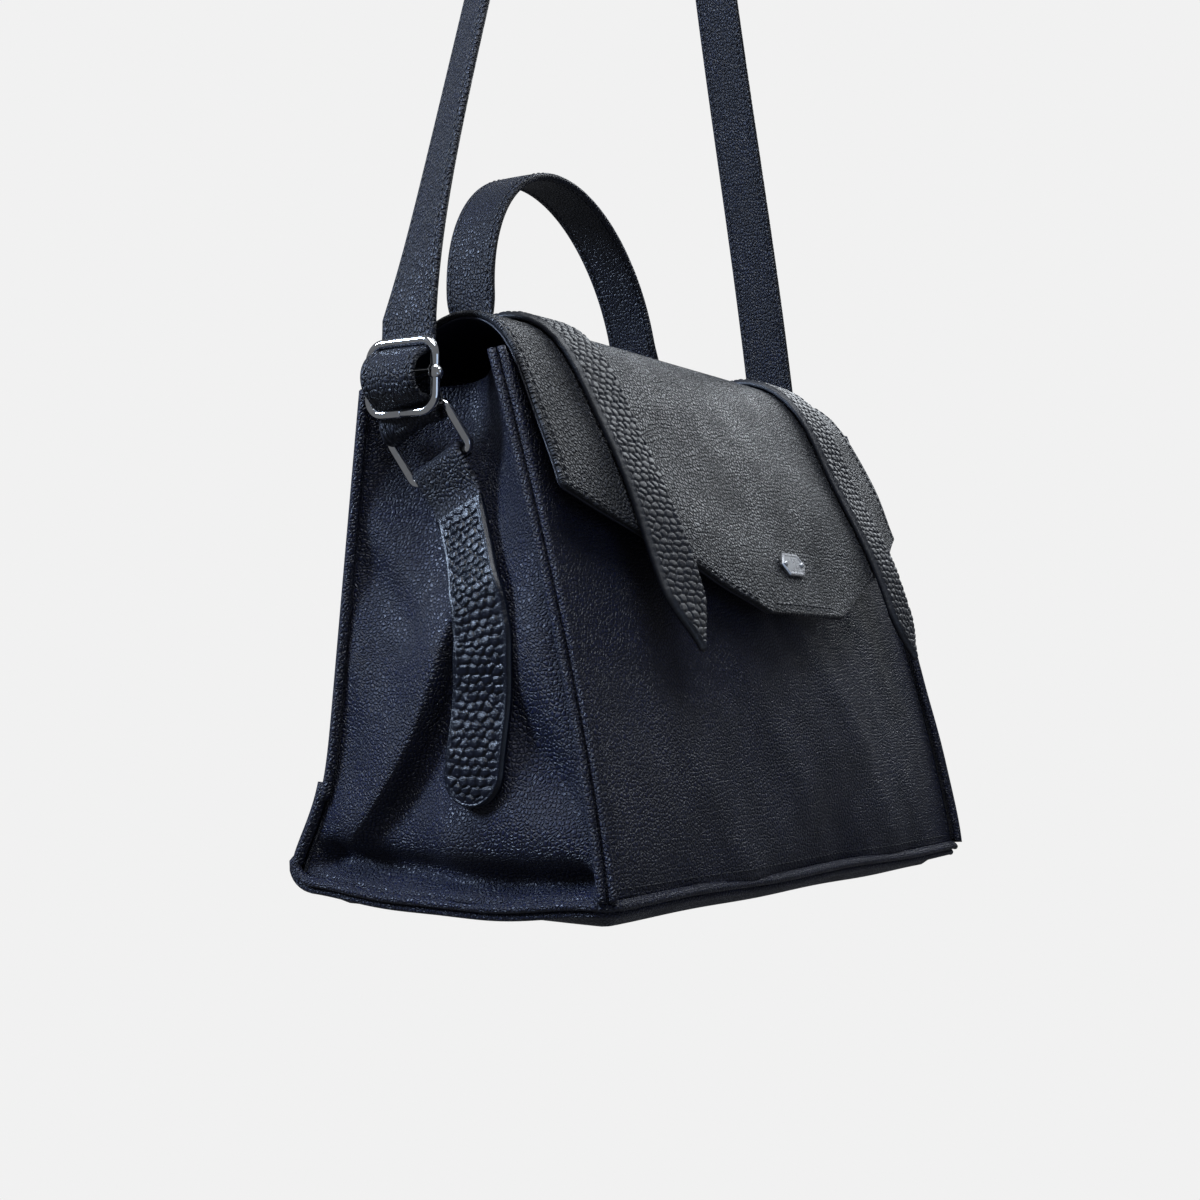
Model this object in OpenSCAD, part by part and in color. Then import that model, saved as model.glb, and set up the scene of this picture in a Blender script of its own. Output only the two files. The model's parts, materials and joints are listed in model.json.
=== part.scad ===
// Leather satchel hanging from its shoulder strap. Millimetres, +Z up, front towards -Y.
// The origin is the inside of the top bend of the shoulder strap, where the bag hangs.

/* [Body] */
// Width of the base from side to side
bag_width = 330; // [290:1:370]
// Depth of the base from front to back
base_depth = 152; // [130:1:175]
// Height of the front top edge above the base seam
front_height = 216; // [190:1:235]
// Height of the back top edge above the base seam
back_height = 205; // [185:1:225]
// How far the front top edge leans back over the base
front_lean = 61; // [45:1:75]
// How far the middle of the front panel swells out
front_bulge = 12; // [4:1:18]
// Depth of the inward fold at the top of each side
side_fold = 30; // [10:1:34]
// Thickness of the panel leather
leather = 2; // [1.5:0.1:2.4]
// How far the middle of the base hangs below its seam
base_sag = 8; // [4:1:12]
// Height of the base panel where it turns up the back
turn_up = 42; // [30:1:60]

/* [Flap] */
// Width of the flap at its two lower corners
flap_width = 312; // [280:1:316]
// Width of the flap along its hinge and ridge
flap_top_width = 288; // [270:1:300]
// Width of the short straight bottom edge of the flap
flap_nose = 72; // [40:1:120]
// How far the middle of the closed flap swells forward
flap_bulge = 7; // [4:1:10]
// Thickness of the flap leather
flap_leather = 2.2; // [1.6:0.1:2.6]
// Width of the two straps sewn on the flap
flap_strap_width = 26; // [18:1:32]
// Thickness of the two straps sewn on the flap
flap_strap_thick = 4; // [2:0.5:5]
// Distance of each flap strap from the middle
flap_strap_x = 101; // [85:1:115]

/* [Carrying] */
// Height of the hang point above the base seam
hang_height = 793; // [700:1:900]
// Width of the shoulder strap
strap_width = 27.5; // [25:0.5:28]
// Thickness of the shoulder strap
strap_thick = 3.6; // [2.4:0.1:4]
// Radius of the top bend of the shoulder strap
hang_radius = 22; // [15:1:40]
// Angle between the top bend of the strap and the front-back direction
strap_turn = 30; // [0:5:60]
// Distance between the middles of the two handle legs
handle_span = 140; // [110:1:160]
// Height of the handle top above the base seam
handle_height = 326; // [280:1:340]
// Width of the handle band
handle_width = 27; // [20:1:32]

/* [Metal] */
// Wire thickness of the sliders and rings
wire = 4; // [3:0.1:4.5]
// Outside width of each slider
slider_width = 38; // [36:1:42]
// Outside height of each slider
slider_height = 33; // [32:1:38]
// Outside height of each ring
ring_height = 26; // [25:1:30]

/* [Hidden] */

$fa = 6;
$fs = 0.5;
gap = 0.3;
leather_colour = [0.09, 0.1, 0.15];
trim_colour = [0.14, 0.15, 0.2];
metal_colour = [0.75, 0.76, 0.78];
cloth_colour = [0.25, 0.25, 0.28];

// shape of the body
half_base = base_depth / 2;
side_taper = 10;
front_curve = 1.25;
bulge_rise = 0.8;
back_foot = 62.5;
back_slope = 0.055;
back_flare = 13;
flare_height = 28;
fold_start = 95;
fold_edge = 1.2;
panel_rows = 14;
panel_cols = 16;
side_cols = 14;
seam_foot = 4;
lining_inset = 6.2;
lining_thick = 0.8;
lining_foot = 9;
lining_top = 179;
lining_rows = 9;
lining_corner = 15;
ring_steps = 8;
facing_inset = 2.4;
facing_thick = 1.4;
facing_height = 34;
facing_margin = 6;
facing_drop = 0.5;
facing_rows = 4;
pocket_half = 75;
pocket_foot = 70;
pocket_top = 155;
pocket_belly = 12;
pocket_rise = 60;
pocket_rows = 6;
pocket_cols = 10;
base_margin = 1.7;
base_rows = 10;
base_cols = 20;
base_corner = [5, 1.4, 0.2];
base_corner_heights = [1.2, 3.6, 5];
sag_edges = [0.1, 0.16];
board_thick = 2.5;
board_size = [288, 108];
turn_up_gap = 0.4;
turn_up_thick = 2.4;
turn_up_rows = 6;
welt_radius = 2.3;
welt_out = 1.95;
welt_sides = 8;
welt_rows = 16;
back_welt_rows = 12;
back_welt_lift = 4;
base_welt_height = 0.4;
base_welt_corner = 6;
base_welt_end = 8;
base_welt_rows = [6, 8];

// side view of the closed flap, from its hinge over the ridge and down the front: [y, z]
flap_profile = [[51, 211], [45, 218], [38, 224], [30, 229.5], [20.5, 234], [10.5, 236],
  [-1.5, 233.5], [-12.5, 226], [-22.5, 211.5], [-30.5, 194], [-38.5, 177], [-46.5, 160],
  [-53.5, 145], [-60, 130], [-66.5, 115], [-73, 99], [-76, 92]];
corner_row = 11;
nose_row = 14;
ridge_row = 5;
flap_lining_thick = 1;
flap_lining_margin = 3;
flap_root_foot = 185;
flap_root_top = 209;
flap_root_thick = 1.6;
tip_row = 15.4;
strap_start_row = 0.8;
tip_length_rows = 1.7;
tip_half = 1;
strap_spread = 4;
flap_cols = 18;
flap_root_rows = 3;
flap_root_cols = 8;

// fittings
snap_row = 12.5;
snap_radius = 8;
snap_half = 1.6;
snap_clearance = 0.2;
badge_size = [22, 11, 1.4];
badge_point = 4;
badge_row = 12.55;
badge_lift = 0.35;
// slope of the flap face at the snap and the badge, in degrees from upright
flap_slope = 24;
tab_thick = 3.4;
// middle line of a side tab over the side of the bag, from its lower end up: [y, z]
tab_middle = [[-17, 36], [-17, 48], [-17.5, 64], [-17.5, 82], [-16.9, 100], [-12.8, 116],
  [-5.2, 131], [3, 146], [10.5, 162]];
tab_halves = [7, 13, 14, 14, 13.5, 12.8, 12.2, 12, 12];
tab_cols = 4;
tab_gap = 1.1;
tab_tongue_x = [-1, 1.7];
tab_tongue_z = [-11, -1.5];
ring_foot = [-148.5, 16, 172];
ring_tilt = 28;
ring_lean = 15;
ring_width = 36;
ring_corner = 2.6;
slider_middle = [-162, 27, 207.5];
slider_corner = 6;
bar_radius = 1.5;
bar_rise = 1;
eye_radius = 2.95;
eye_height = 5;
loop_bore = wire / 2 + gap;
loop_wall = 2.5;
loop_half = 12;
hang_y = slider_middle[1];
swing_height = 254;
knuckle = 22;
knuckle_gap = 0.6;
over_bar_thick = 3;
behind_bar_thick = 2.4;
leg_rows = 26;
bend_rows = 12;
strap_cols = 6;
leg_bow = 6;
near_leg_forward = 6;
far_leg_back = 4;
twist_height_near = 35;
handle_rows = 30;
handle_foot = 199.5;
handle_straight = 250;
handle_thick = 3.4;
handle_stand = 4;
handle_lean = 6;
handle_skew = 10;
handle_lean_height = 40;
handle_turn_start = 212;
handle_turn_height = 50;
handle_cols = 6;
root_rows = 4;
root_foot = 150;
root_top = 197.3;
root_thick = 2.6;
root_stand = 2.1;

function smooth(t) = let (c = min(1, max(0, t))) c * c * (3 - 2 * c);
function unit(v) = v / norm(v);
function mix(a, b, t) = a + (b - a) * t;
function half_w(z) = bag_width / 2 - side_taper * z / front_height;
function front_y(z) = -half_base + front_lean * pow(max(z, 0) / front_height, front_curve);
function back_y(z) = back_foot - back_slope * z + back_flare * exp(-pow(z / flare_height, 2));
function swell(x, z) = front_bulge * (1 - pow(x / half_w(z), 2))
  * sin(180 * pow(min(1, max(0, z / front_height)), bulge_rise));
function fold_at(y, z) = let (t = (y - front_y(z)) / (back_y(z) - front_y(z)))
  side_fold * pow(max(0, sin(180 * t)), fold_edge)
  * smooth((z - fold_start) / (front_height - fold_start));
// points on the outside of the body, set in by a distance
function front_point(x, z, inset) = [x, front_y(z) - swell(x, z) + inset, z];
function back_point(x, z, inset) = [x, back_y(z) - inset, z];
function side_point(y, z, inset) = [-half_w(z) + fold_at(y, z) + inset, y, z];

// a sheet of leather or cloth: a grid of points thickened along its normals
function grid_normal(G, i, j) = unit(cross(
  G[min(i + 1, len(G) - 1)][j] - G[max(i - 1, 0)][j],
  G[i][min(j + 1, len(G[0]) - 1)] - G[i][max(j - 1, 0)]));
module skin(G, t) {
  rows = len(G);
  cols = len(G[0]);
  n = rows * cols;
  near = [for (r = G) for (p = r) p];
  far = [for (i = [0 : rows - 1]) for (j = [0 : cols - 1]) G[i][j] + t * grid_normal(G, i, j)];
  R = [0 : rows - 2];
  C = [0 : cols - 2];
  last_row = (rows - 1) * cols;
  polyhedron(concat(near, far), concat(
    [for (i = R) for (j = C) let (a = i * cols + j) [a, a + cols, a + cols + 1]],
    [for (i = R) for (j = C) let (a = i * cols + j) [a, a + cols + 1, a + 1]],
    [for (i = R) for (j = C) let (a = n + i * cols + j) [a, a + cols + 1, a + cols]],
    [for (i = R) for (j = C) let (a = n + i * cols + j) [a, a + 1, a + cols + 1]],
    [for (i = R) let (a = i * cols) [a, a + n, a + n + cols]],
    [for (i = R) let (a = i * cols) [a, a + n + cols, a + cols]],
    [for (i = R) let (a = i * cols + cols - 1) [a, a + cols, a + n + cols]],
    [for (i = R) let (a = i * cols + cols - 1) [a, a + n + cols, a + n]],
    [for (j = C) [j, j + 1, j + 1 + n]],
    [for (j = C) [j, j + 1 + n, j + n]],
    [for (j = C) let (a = last_row + j) [a, a + n, a + n + 1]],
    [for (j = C) let (a = last_row + j) [a, a + n + 1, a + 1]]));
}

// a solid through a stack of closed rings of points
module loft(R) {
  n = len(R[0]);
  top = len(R) - 1;
  polyhedron([for (r = R) for (p = r) p], concat(
    [for (i = [0 : top - 1]) for (j = [0 : n - 1]) let (k = (j + 1) % n)
      [i * n + j, (i + 1) * n + k, i * n + k]],
    [for (i = [0 : top - 1]) for (j = [0 : n - 1]) let (k = (j + 1) % n)
      [i * n + j, (i + 1) * n + j, (i + 1) * n + k]],
    [[for (j = [0 : n - 1]) j]],
    [[for (j = [n - 1 : -1 : 0]) top * n + j]]));
}

// a round cord along a path; "side" is any direction across the path
module cord(path, r, side) {
  last = len(path) - 1;
  loft([for (i = [0 : last])
    let (t = unit(path[min(i + 1, last)] - path[max(i - 1, 0)]))
    let (b = unit(cross(t, side)))
    let (a = cross(b, t))
    [for (k = [0 : welt_sides - 1])
      path[i] + r * (cos(360 * k / welt_sides) * a + sin(360 * k / welt_sides) * b)]]);
}

module on_bag() {
  translate([0, -hang_y, -hang_height]) children();
}

module front_panel() {
  color(leather_colour) on_bag()
    skin([for (i = [0 : panel_rows]) [for (j = [0 : panel_cols])
      let (z = mix(seam_foot, front_height, i / panel_rows))
      front_point((half_w(z) - gap) * (1 - 2 * j / panel_cols), z, leather)]], leather);
}

module back_panel() {
  color(leather_colour) on_bag()
    skin([for (i = [0 : panel_rows]) [for (j = [0 : panel_cols])
      let (z = mix(seam_foot, back_height, i / panel_rows))
      back_point((half_w(z) - gap) * (2 * j / panel_cols - 1), z, leather)]], leather);
}

module gusset_left() {
  color(leather_colour) on_bag()
    skin([for (i = [0 : panel_rows]) [for (j = [0 : side_cols])
      let (t = j / side_cols)
      let (z = mix(seam_foot, mix(front_height, back_height, t), i / panel_rows))
      side_point(mix(front_y(z) + leather + gap, back_y(z) - leather - gap, t), z, leather)]],
      leather);
}

module gusset_right() {
  mirror([1, 0, 0]) gusset_left();
}

// inner face of the base, then of its turned-up back, as [y, z] before the middle sags
base_path = concat([for (k = [0 : base_rows])
    [mix(base_margin - half_base, half_base - base_corner[0], k / base_rows), 0]],
  [for (k = [1, 2]) [half_base - base_corner[k], base_corner_heights[k - 1]]],
  [for (k = [1 : turn_up_rows])
    let (z = mix(base_corner_heights[2], turn_up, k / turn_up_rows))
    [back_y(z) + turn_up_gap, z]]);
function tray(u, v) = smooth((1 - abs(u)) / sag_edges[0]) * smooth((1 - abs(v)) / sag_edges[1]);

module base_panel() {
  color(leather_colour) on_bag()
    skin([for (p = base_path) [for (j = [0 : base_cols])
      let (u = 2 * j / base_cols - 1)
      let (sag = p[1] > 0 ? 0 : base_sag * tray(u, p[0] / half_base))
      [u * (bag_width / 2 - base_margin), p[0], p[1] + turn_up_thick - sag]]], turn_up_thick);
}

module base_board() {
  color(cloth_colour) on_bag()
    translate([0, 0, board_thick / 2 + turn_up_thick - base_sag + gap])
      cube([board_size[0], board_size[1], board_thick], center = true);
}

// one level ring of the inside of the bag, counter-clockwise from the front left corner
function inside_ring(z, inset) = let (
  x = half_w(z) - inset,
  y0 = front_y(z) + inset,
  y1 = back_y(z) - inset) concat(
  [for (k = [0 : ring_steps - 1]) front_point(mix(-x, x, k / ring_steps), z, inset)],
  [for (k = [0 : ring_steps - 1]) let (y = mix(y0, y1, k / ring_steps))
    [-side_point(y, z, inset)[0], y, z]],
  [for (k = [0 : ring_steps - 1]) [mix(x, -x, k / ring_steps), y1, z]],
  [for (k = [0 : ring_steps - 1]) side_point(mix(y1, y0, k / ring_steps), z, inset)]);
lining_floor = turn_up_thick - base_sag + board_thick + 2 * gap;
function lining_level(i) = mix(lining_foot, lining_top, i / lining_rows);
function floor_ring(z, inset) = [for (p = inside_ring(lining_foot, inset + lining_corner))
  [p[0], p[1], z]];
module lining() {
  outer_in = lining_inset;
  inner_in = lining_inset + lining_thick;
  color(cloth_colour) on_bag() loft(concat(
    [floor_ring(lining_floor, outer_in)],
    [for (i = [0 : lining_rows]) inside_ring(lining_level(i), outer_in)],
    [for (i = [lining_rows : -1 : 0]) inside_ring(lining_level(i), inner_in)],
    [floor_ring(lining_floor + lining_thick, inner_in)]));
}

module facing_front() {
  color(leather_colour) on_bag()
    skin([for (i = [0 : facing_rows]) [for (j = [0 : panel_cols])
      let (z = front_height - facing_drop - facing_height * (1 - i / facing_rows))
      front_point((half_w(z) - facing_margin) * (1 - 2 * j / panel_cols), z,
        facing_inset + facing_thick)]], facing_thick);
}

module facing_back() {
  color(leather_colour) on_bag()
    skin([for (i = [0 : facing_rows]) [for (j = [0 : panel_cols])
      let (z = back_height - facing_drop - facing_height * (1 - i / facing_rows))
      back_point((half_w(z) - facing_margin) * (2 * j / panel_cols - 1), z,
        facing_inset + facing_thick)]], facing_thick);
}

function pocket_stand(x, z) = pocket_belly * (1 - pow(x / pocket_half, 2))
  * smooth((z - pocket_foot) / pocket_rise);
module slip_pocket() {
  inset = lining_inset + 2 * lining_thick + gap;
  color(cloth_colour) on_bag()
    skin([for (i = [0 : pocket_rows]) [for (j = [0 : pocket_cols])
      let (x = pocket_half * (2 * j / pocket_cols - 1))
      let (z = mix(pocket_foot, pocket_top, i / pocket_rows))
      back_point(x, z, inset + pocket_stand(x, z))]], lining_thick);
}

module welt_front_left() {
  color(trim_colour) on_bag()
    cord([for (i = [0 : welt_rows]) let (z = mix(seam_foot, front_height, i / welt_rows))
      [-half_w(z) - welt_out, front_y(z) - welt_out, z]], welt_radius, [1, 0, 0]);
}

module welt_front_right() {
  mirror([1, 0, 0]) welt_front_left();
}

module welt_back_left() {
  color(trim_colour) on_bag()
    cord([for (i = [0 : back_welt_rows])
      let (z = mix(turn_up + back_welt_lift, back_height, i / back_welt_rows))
      [-half_w(z) - welt_out, back_y(z) + welt_out, z]], welt_radius, [1, 0, 0]);
}

module welt_back_right() {
  mirror([1, 0, 0]) welt_back_left();
}

module welt_base() {
  x = bag_width / 2 + welt_out;
  y = half_base + welt_out;
  z = base_welt_height;
  r = base_welt_corner;
  back = half_base - base_welt_end;
  m = base_welt_rows[0];
  n = base_welt_rows[1];
  color(trim_colour) on_bag() cord(concat(
    [for (k = [0 : m]) [-x, mix(back, r - y, k / m), z]],
    [for (a = [15 : 15 : 75]) [-x + r - r * cos(a), r - y - r * sin(a), z]],
    [for (k = [0 : n]) [mix(r - x, x - r, k / n), -y, z]],
    [for (a = [75 : -15 : 15]) [x - r + r * cos(a), r - y - r * sin(a), z]],
    [for (k = [0 : m]) [x, mix(r - y, back, k / m), z]]), welt_radius, [0, 0, 1]);
}

// points of the flap: distance across, row along the profile, height above its inner face
function on_profile(k) = let (i = min(floor(k), len(flap_profile) - 2))
  mix(flap_profile[i], flap_profile[i + 1], k - i);
function flap_bulge_at(x, k) = flap_bulge * (1 - pow(x / (flap_width / 2), 2))
  * smooth((k - ridge_row) / (corner_row - ridge_row));
function flap_point(x, k, h) = let (
  p = on_profile(k),
  d = unit(on_profile(min(k + 0.5, len(flap_profile) - 1)) - on_profile(max(k - 0.5, 0))))
  [x, p[0] + d[1] * h - flap_bulge_at(x, k), p[1] - d[0] * h];
function flap_half(k) = k <= ridge_row ? flap_top_width / 2
  : k <= corner_row ? mix(flap_top_width, flap_width, (k - ridge_row) / (corner_row - ridge_row)) / 2
  : mix(flap_width, flap_nose, (k - corner_row) / (nose_row - corner_row)) / 2;

module flap() {
  color(leather_colour) on_bag()
    skin([for (k = [0 : 0.5 : nose_row]) [for (j = [0 : flap_cols])
      flap_point(flap_half(k) * (2 * j / flap_cols - 1), k, 0)]], flap_leather);
}

module flap_lining() {
  color(cloth_colour) on_bag()
    skin([for (k = [1 : 0.5 : nose_row]) [for (j = [0 : flap_cols])
      flap_point((flap_half(k) - flap_lining_margin) * (2 * j / flap_cols - 1), k,
        -flap_lining_thick - gap)]], flap_lining_thick);
}

module flap_root() {
  color(leather_colour) on_bag()
    skin([for (i = [0 : flap_root_rows]) [for (j = [0 : flap_root_cols])
      back_point(flap_top_width / 2 * (2 * j / flap_root_cols - 1),
        mix(flap_root_foot, flap_root_top, i / flap_root_rows), -gap)]], flap_root_thick);
}

strap_rows = concat([strap_start_row], [for (k = [1 : 0.5 : 15]) k], [tip_row]);
module flap_strap_right() {
  color(trim_colour) on_bag()
    skin([for (k = strap_rows) [for (j = [0 : 4])
      let (w = mix(tip_half, flap_strap_width / 2, smooth((tip_row - k) / tip_length_rows)))
      flap_point(flap_strap_x + strap_spread * k / tip_row + w * (j / 2 - 1), k,
        flap_leather + gap)]], flap_strap_thick);
}

module flap_strap_left() {
  mirror([1, 0, 0]) flap_strap_right();
}

module badge() {
  w = badge_size[0] / 2;
  h = badge_size[1] / 2;
  c = badge_point;
  p = flap_point(0, badge_row, flap_leather + badge_lift);
  color(metal_colour) on_bag() translate(p) rotate([90 - flap_slope, 0, 0])
    linear_extrude(badge_size[2])
      polygon([[-w, 0], [c - w, -h], [w - c, -h], [w, 0], [w - c, h], [c - w, h]]);
}

snap_point = flap_point(0, snap_row, -flap_lining_thick - 2 * gap - snap_clearance);
module snap_stud() {
  color(metal_colour) on_bag() translate(snap_point) rotate([90 - flap_slope, 0, 0])
    translate([0, 0, -snap_half]) cylinder(r = snap_radius, h = snap_half);
}

module snap_socket() {
  color(metal_colour) on_bag() translate(snap_point) rotate([90 - flap_slope, 0, 0])
    translate([0, 0, -2 * snap_half - gap]) cylinder(r = snap_radius, h = snap_half);
}

// a bent wire rectangle standing in the YZ plane, outside size w by h
module wire_frame(w, h, corner) {
  y = w / 2 - wire / 2 - corner;
  z = h / 2 - wire / 2 - corner;
  for (s = [-1, 1]) {
    translate([0, s * (y + corner), -z]) cylinder(d = wire, h = 2 * z);
    translate([0, -y, s * (z + corner)]) rotate([-90, 0, 0]) cylinder(d = wire, h = 2 * y);
  }
  for (q = [[1, 1, 0], [-1, 1, 90], [-1, -1, 180], [1, -1, 270]])
    translate([0, q[0] * y, q[1] * z]) rotate([90, 0, 90]) rotate([0, 0, q[2]])
      rotate_extrude(angle = 90) translate([corner, 0]) circle(d = wire);
}

module at_ring() {
  translate(ring_foot) rotate([-ring_tilt, 0, 0]) rotate([0, -ring_lean, 0]) children();
}

module ring_left() {
  color(metal_colour) on_bag() at_ring() translate([0, 0, ring_height / 2 - wire / 2])
    wire_frame(ring_width, ring_height, ring_corner);
}

module ring_right() {
  mirror([1, 0, 0]) ring_left();
}

module slider_left() {
  color(metal_colour) on_bag() translate(slider_middle)
    wire_frame(slider_width, slider_height, slider_corner);
}

module slider_right() {
  mirror([1, 0, 0]) slider_left();
}

module slider_bar_left() {
  reach = slider_width / 2 - wire / 2;
  color(metal_colour) on_bag() translate(slider_middle + [0, 0, bar_rise]) difference() {
    union() {
      rotate([90, 0, 0]) cylinder(r = bar_radius, h = 2 * reach, center = true);
      for (s = [-1, 1])
        translate([0, s * reach, 0]) cylinder(r = eye_radius, h = eye_height, center = true);
    }
    for (s = [-1, 1])
      translate([0, s * reach, 0])
        cylinder(r = wire / 2 + gap / 2, h = eye_height + 1, center = true);
  }
}

module slider_bar_right() {
  mirror([1, 0, 0]) slider_bar_left();
}

module loop_tube() {
  difference() {
    rotate([90, 0, 0]) cylinder(r = loop_bore + loop_wall, h = 2 * loop_half, center = true);
    rotate([90, 0, 0]) cylinder(r = loop_bore, h = 2 * loop_half + 1, center = true);
  }
}

module side_tab_left() {
  last = len(tab_middle) - 1;
  color(trim_colour) on_bag() {
    skin([for (i = [0 : last]) [for (j = [0 : tab_cols])
      let (m = tab_middle[i])
      let (d = unit(tab_middle[min(i + 1, last)] - tab_middle[max(i - 1, 0)]))
      let (s = tab_halves[i] * (2 * j / tab_cols - 1))
      side_point(m[0] + d[1] * s, m[1] - d[0] * s, -tab_gap)]], tab_thick);
    at_ring() difference() {
      union() {
        loop_tube();
        translate([tab_tongue_x[0], -loop_half, tab_tongue_z[0]])
          cube([tab_tongue_x[1] - tab_tongue_x[0], 2 * loop_half,
            tab_tongue_z[1] - tab_tongue_z[0]]);
      }
      rotate([90, 0, 0]) cylinder(r = loop_bore, h = 2 * loop_half + 1, center = true);
    }
  }
}

module side_tab_right() {
  mirror([1, 0, 0]) side_tab_left();
}

// side view of the strap through the slider: [outward, up] from the slider middle
over_bar = [[-3.9, 31], [-3.9, 13.6], [-2.4, 9.6], [1.2, 7], [4.6, 4.6], [5.7, 1], [4.6, -3.4],
  [1, -7.6], [-2.9, -10.4], [-5.6, -12.8], [-8.4, -12.4]];
behind_bar = [[-8.4, -14], [-8.2, -8], [-5.4, -2], [-2.4, 1.4]];
function side_of(P, i, d) = let (
  last = len(P) - 1,
  t = unit(P[min(i + 1, last)] - P[max(i - 1, 0)]))
  P[i] + d * [-t[1], t[0]];
module ribbon(P, t) {
  last = len(P) - 1;
  polygon(concat([for (i = [0 : last]) side_of(P, i, t / 2)],
    [for (i = [last : -1 : 0]) side_of(P, i, -t / 2)]));
}

module strap_end_left() {
  color(leather_colour) on_bag() difference() {
    union() {
      translate(slider_middle) rotate([90, 0, 0]) mirror([1, 0, 0])
        linear_extrude(strap_width, center = true) {
          ribbon(over_bar, over_bar_thick);
          ribbon(behind_bar, behind_bar_thick);
          translate([0, bar_rise]) circle(r = bar_radius + gap + behind_bar_thick);
        }
      at_ring() translate([0, 0, ring_height - wire]) loop_tube();
    }
    translate(slider_middle + [0, 0, bar_rise]) rotate([90, 0, 0])
      cylinder(r = bar_radius + gap, h = strap_width + 1, center = true);
    at_ring() translate([0, 0, ring_height - wire]) rotate([90, 0, 0])
      cylinder(r = loop_bore, h = 3 * loop_half, center = true);
    for (s = [-1, 1])
      at_ring() translate([0, s * (ring_width - wire) / 2, 0])
        cylinder(r = loop_bore, h = ring_height);
    translate([slider_middle[0], hang_y, swing_height]) rotate([0, 90, 0])
      cylinder(r = knuckle + gap, h = 40, center = true, $fa = 3);
  }
}

module strap_end_right() {
  mirror([1, 0, 0]) strap_end_left();
}

// path of the shoulder strap from the left slider over the hang point to the right slider
leg_foot = [slider_middle[0] - over_bar[0][0], swing_height - knuckle + knuckle_gap];
bend_middle = hang_height - hang_radius;
bend_r = hang_radius + strap_thick / 2;
leg_angle = atan2(bend_middle - leg_foot[1], -leg_foot[0])
  + asin(bend_r / norm([leg_foot[0], bend_middle - leg_foot[1]]));
leave = [-bend_r * sin(leg_angle), bend_middle + bend_r * cos(leg_angle)];
function leg_point(t, side) = let (p = mix(leg_foot, leave, t))
  [side * (-p[0] - leg_bow * pow(sin(180 * t), 2)),
    hang_y + (side > 0 ? far_leg_back : -near_leg_forward) * pow(sin(180 * t), 2), p[1]];
strap_path = concat(
  [for (i = [0 : leg_rows]) leg_point(i / leg_rows, -1)],
  [for (i = [1 : bend_rows - 1]) let (a = mix(-leg_angle, leg_angle, i / bend_rows))
    [bend_r * sin(a), hang_y, bend_middle + bend_r * cos(a)]],
  [for (i = [leg_rows : -1 : 0]) leg_point(i / leg_rows, 1)]);
function near_twist(z) = strap_turn * (1 - exp(-(z - leg_foot[1]) / twist_height_near));
function far_twist(z) = strap_turn * min(1, (z - leg_foot[1]) / (leave[1] - leg_foot[1]));
strap_twist = [for (i = [0 : len(strap_path) - 1])
  let (p = strap_path[i]) p[0] < 0 ? near_twist(p[2]) : far_twist(p[2])];

module shoulder_strap() {
  last = len(strap_path) - 1;
  color(leather_colour) on_bag()
    skin([for (i = [0 : last]) [for (j = [0 : strap_cols])
      let (t = unit(strap_path[min(i + 1, last)] - strap_path[max(i - 1, 0)]))
      let (w0 = [sin(strap_twist[i]), cos(strap_twist[i]), 0])
      let (w = unit(w0 - t * (w0 * t)))
      let (out = cross(t, w))
      let (s = strap_width * (j / strap_cols - 0.5))
      let (dip = i == 0 || i == last ? knuckle - sqrt(knuckle * knuckle - s * s) : 0)
      strap_path[i] + w * s - out * strap_thick / 2 + [0, 0, dip]]], strap_thick);
}

// handle: upright legs that turn edge-on, joined by an arch
function handle_x(q) = q < 0 ? handle_span / 2 : handle_span / 2 * cos(q);
function handle_z(q) = q < 0 ? mix(handle_straight, handle_foot, -q / 90)
  : handle_straight + (handle_height - handle_straight) * sin(q);
function arch_skew(q) = handle_skew * max(0, sin(q));
handle_path = [for (i = [0 : handle_rows]) let (q = mix(-90, 270, i / handle_rows))
  q < 90 ? [-handle_x(q) - arch_skew(q), handle_z(q)]
    : [handle_x(180 - q) - arch_skew(q), handle_z(180 - q)]];
function handle_y(z) = back_y(handle_foot) + handle_stand
  + handle_lean * smooth((z - handle_foot) / handle_lean_height);
module handle() {
  last = handle_rows;
  color(leather_colour) on_bag()
    skin([for (i = [0 : last]) [for (j = [0 : handle_cols])
      let (p = handle_path[i])
      let (e = handle_path[min(i + 1, last)] - handle_path[max(i - 1, 0)])
      let (t = unit([e[0], 0, e[1]]))
      let (flat = cross(t, [0, 1, 0]))
      let (turn = 90 * smooth((p[1] - handle_turn_start) / handle_turn_height))
      let (w = flat * cos(turn) - [0, 1, 0] * sin(turn))
      let (n = cross(t, w))
      let (s = handle_width * (j / handle_cols - 0.5))
      [p[0], handle_y(p[1]), p[1]] + w * s - n * handle_thick / 2]], handle_thick);
}

module handle_root_left() {
  color(leather_colour) on_bag()
    skin([for (i = [0 : root_rows]) [for (j = [0 : 2])
      back_point(-handle_span / 2 + handle_width / 2 * (j - 1),
        mix(root_foot, root_top, i / root_rows), -root_stand)]], root_thick);
}

module handle_root_right() {
  mirror([1, 0, 0]) handle_root_left();
}

front_panel();
back_panel();
gusset_left();
gusset_right();
base_panel();
base_board();
lining();
facing_front();
facing_back();
slip_pocket();
welt_front_left();
welt_front_right();
welt_back_left();
welt_back_right();
welt_base();
flap();
flap_lining();
flap_root();
flap_strap_left();
flap_strap_right();
badge();
snap_stud();
snap_socket();
side_tab_left();
side_tab_right();
ring_left();
ring_right();
slider_left();
slider_right();
slider_bar_left();
slider_bar_right();
strap_end_left();
strap_end_right();
shoulder_strap();
handle();
handle_root_left();
handle_root_right();
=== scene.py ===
"""Looks for the leather satchel: leather, cloth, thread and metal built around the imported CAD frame."""

import json
import math

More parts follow.
